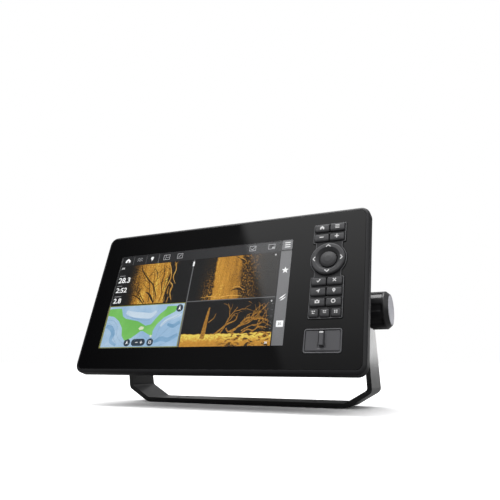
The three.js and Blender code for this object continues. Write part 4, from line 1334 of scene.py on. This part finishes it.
finished(softened_copy("gimbal_bracket", "bracket_strap", 0.7), "strap", "bracket",
         ["gimbal_bracket"])


# ---------- CAD nodes that keep their shape ----------

CARRIED = {
    "glass_adhesive": "soft", "lcd_panel": "panel", "lcd_backlight": "white", "keypad_membrane": "soft",
    "keypad_board": "board", "card_reader": "black", "card_door_seal": "soft", "main_board": "board",
    "thermal_pad": "pad", "heat_spreader": "cast", "arrow_pivot_plate": "steel",
}
for node, material in CARRIED.items():
    mesh = frame["nodes"][node].data
    mesh.materials.clear()
    mesh.materials.append(MATERIALS[material])


# ---------- floor, camera and light ----------

# The floor reaches far and lies a little under the base, both in metres
FLOOR_REACH = 40
FLOOR_LEVEL = -0.0003
floor_corners = [(FLOOR_REACH * x, FLOOR_REACH * y, 0) for x, y in ((-1, -1), (1, -1), (1, 1), (-1, 1))]
floor_mesh = bpy.data.meshes.new("floor")
floor_mesh.from_pydata(floor_corners, [], [(0, 1, 2, 3)])
floor = in_scene("floor", floor_mesh)
floor.location.z = FLOOR_LEVEL
paper = Graph.material("floor_paper")
pale = paper.mix(paper.noise(6, 3), (0.88, 0.88, 0.89, 1), (0.92, 0.92, 0.92, 1))
seen_directly = paper.node("LightPath").outputs["Is Camera Ray"]
mirrored = paper.node("LightPath").outputs["Is Glossy Ray"]
dark = paper.mix(mirrored, (0.1, 0.1, 0.1, 1), (0.16, 0.16, 0.16, 1))
paper.set(Base_Color=paper.mix(seen_directly, dark, pale), Roughness=0.9, Specular_IOR_Level=0)
floor_mesh.materials.append(paper.owner)


def aimed(place, direction):
    return Matrix.Translation(place) @ direction.to_track_quat("-Z", "Y").to_matrix().to_4x4()


CAMERA_PLACE = Vector((244.63, -508.10, 40.89)) * MM
CAMERA_YAW, CAMERA_PITCH = 0.4422, 0.2152
CAMERA_LENS = 37.31
camera_data = bpy.data.cameras.new("camera")
camera_data.lens = CAMERA_LENS
camera_data.sensor_width = 36
camera_data.clip_start = 0.01
camera = in_scene("camera", camera_data)
level = math.cos(CAMERA_PITCH)
forward = Vector((-math.sin(CAMERA_YAW) * level, math.cos(CAMERA_YAW) * level, math.sin(CAMERA_PITCH)))
camera.matrix_world = aimed(CAMERA_PLACE, forward)
bpy.context.scene.camera = camera


def reflected(x, z):
    """Direction in which the glass sends the camera's ray at a point of the front."""
    eye = HEAD.inverted() @ CAMERA_PLACE / MM
    ray = Vector((x - eye.x, FRONT_Y - eye.y, z - eye.z)).normalized()
    return (HEAD.to_3x3() @ Vector((ray.x, -ray.y, ray.z))).normalized()


def build_world():
    world = bpy.data.worlds.new("studio")
    bpy.context.scene.world = world
    graph = Graph(world)
    direction = graph.node("TexCoord").outputs["Generated"]

    def along(axis):
        inputs = {0: direction, 1: tuple(axis)}
        return graph.node("VectorMath", inputs, operation="DOT_PRODUCT").outputs["Value"]

    top, bottom, right = reflected(18, 78), reflected(80, -78), reflected(148, 0)
    edge = top.cross(bottom).normalized()
    if edge.dot(right) < 0:
        edge = -edge
    climb = (reflected(148, 78) - reflected(148, -78)).normalized()
    low, high = climb.dot(reflected(148, -78)), climb.dot(reflected(148, 78))
    x, y, z = along((1, 0, 0)), along((0, 1, 0)), along((0, 0, 1))
    panel = graph.smooth(along(edge), -0.01, 0.01)
    glow = graph.smooth(along(climb), low - 0.05, high + 0.05, 0.26, 1.15)
    dim = graph.smooth(x, -0.78, -0.42, 0, 0.14)
    in_front = graph.mix(panel, dim, glow)
    left_back = graph.smooth(x, -0.5, -0.42, 0.32, 0.03)
    lamp_height = graph.band(z, -0.02, 0.02, 0.07, 0.11, 0.08)
    right_back = graph.times(graph.band(x, 0.05, 0.12, 0.38, 0.45), lamp_height, 2.8)
    upper_back = graph.smooth(z, 0.2, 0.55, 0, 0.4)
    behind = graph.math("MAXIMUM", graph.math("MAXIMUM", left_back, right_back), upper_back)
    around = graph.mix(graph.smooth(y, 0, 0.3), in_front, behind)
    overhead = graph.smooth(z, 0.72, 0.95, 0, 2.6)
    shine = graph.math("MAXIMUM", around, overhead)
    sky = graph.smooth(z, -0.1, 0.9, 0.35, 1.9)
    path = graph.node("LightPath")
    soft = graph.mix(path.outputs["Is Glossy Ray"], sky, shine)
    seen = graph.mix(path.outputs["Is Camera Ray"], soft, (1, 1, 1, 1))
    background = graph.tree.nodes["Background"]
    graph.feed(background.inputs["Color"], seen)
    background.inputs["Strength"].default_value = 1


build_world()


# One soft panel over the unit, in metres and watts
LAMP_PLACE = Vector((-0.2, -0.1, 1.3))
LAMP_TARGET = Vector((0, 0, 0.1))
LAMP_SIZE = (1.2, 0.8)
LAMP_POWER = 12
lamp_data = bpy.data.lights.new("top_panel", "AREA")
lamp_data.shape = "RECTANGLE"
lamp_data.size, lamp_data.size_y = LAMP_SIZE
lamp_data.energy = LAMP_POWER
lamp = in_scene("top_panel", lamp_data)
lamp.matrix_world = aimed(LAMP_PLACE, LAMP_TARGET - LAMP_PLACE)
lamp.visible_camera = False
bpy.context.scene.view_settings.view_transform = "Standard"
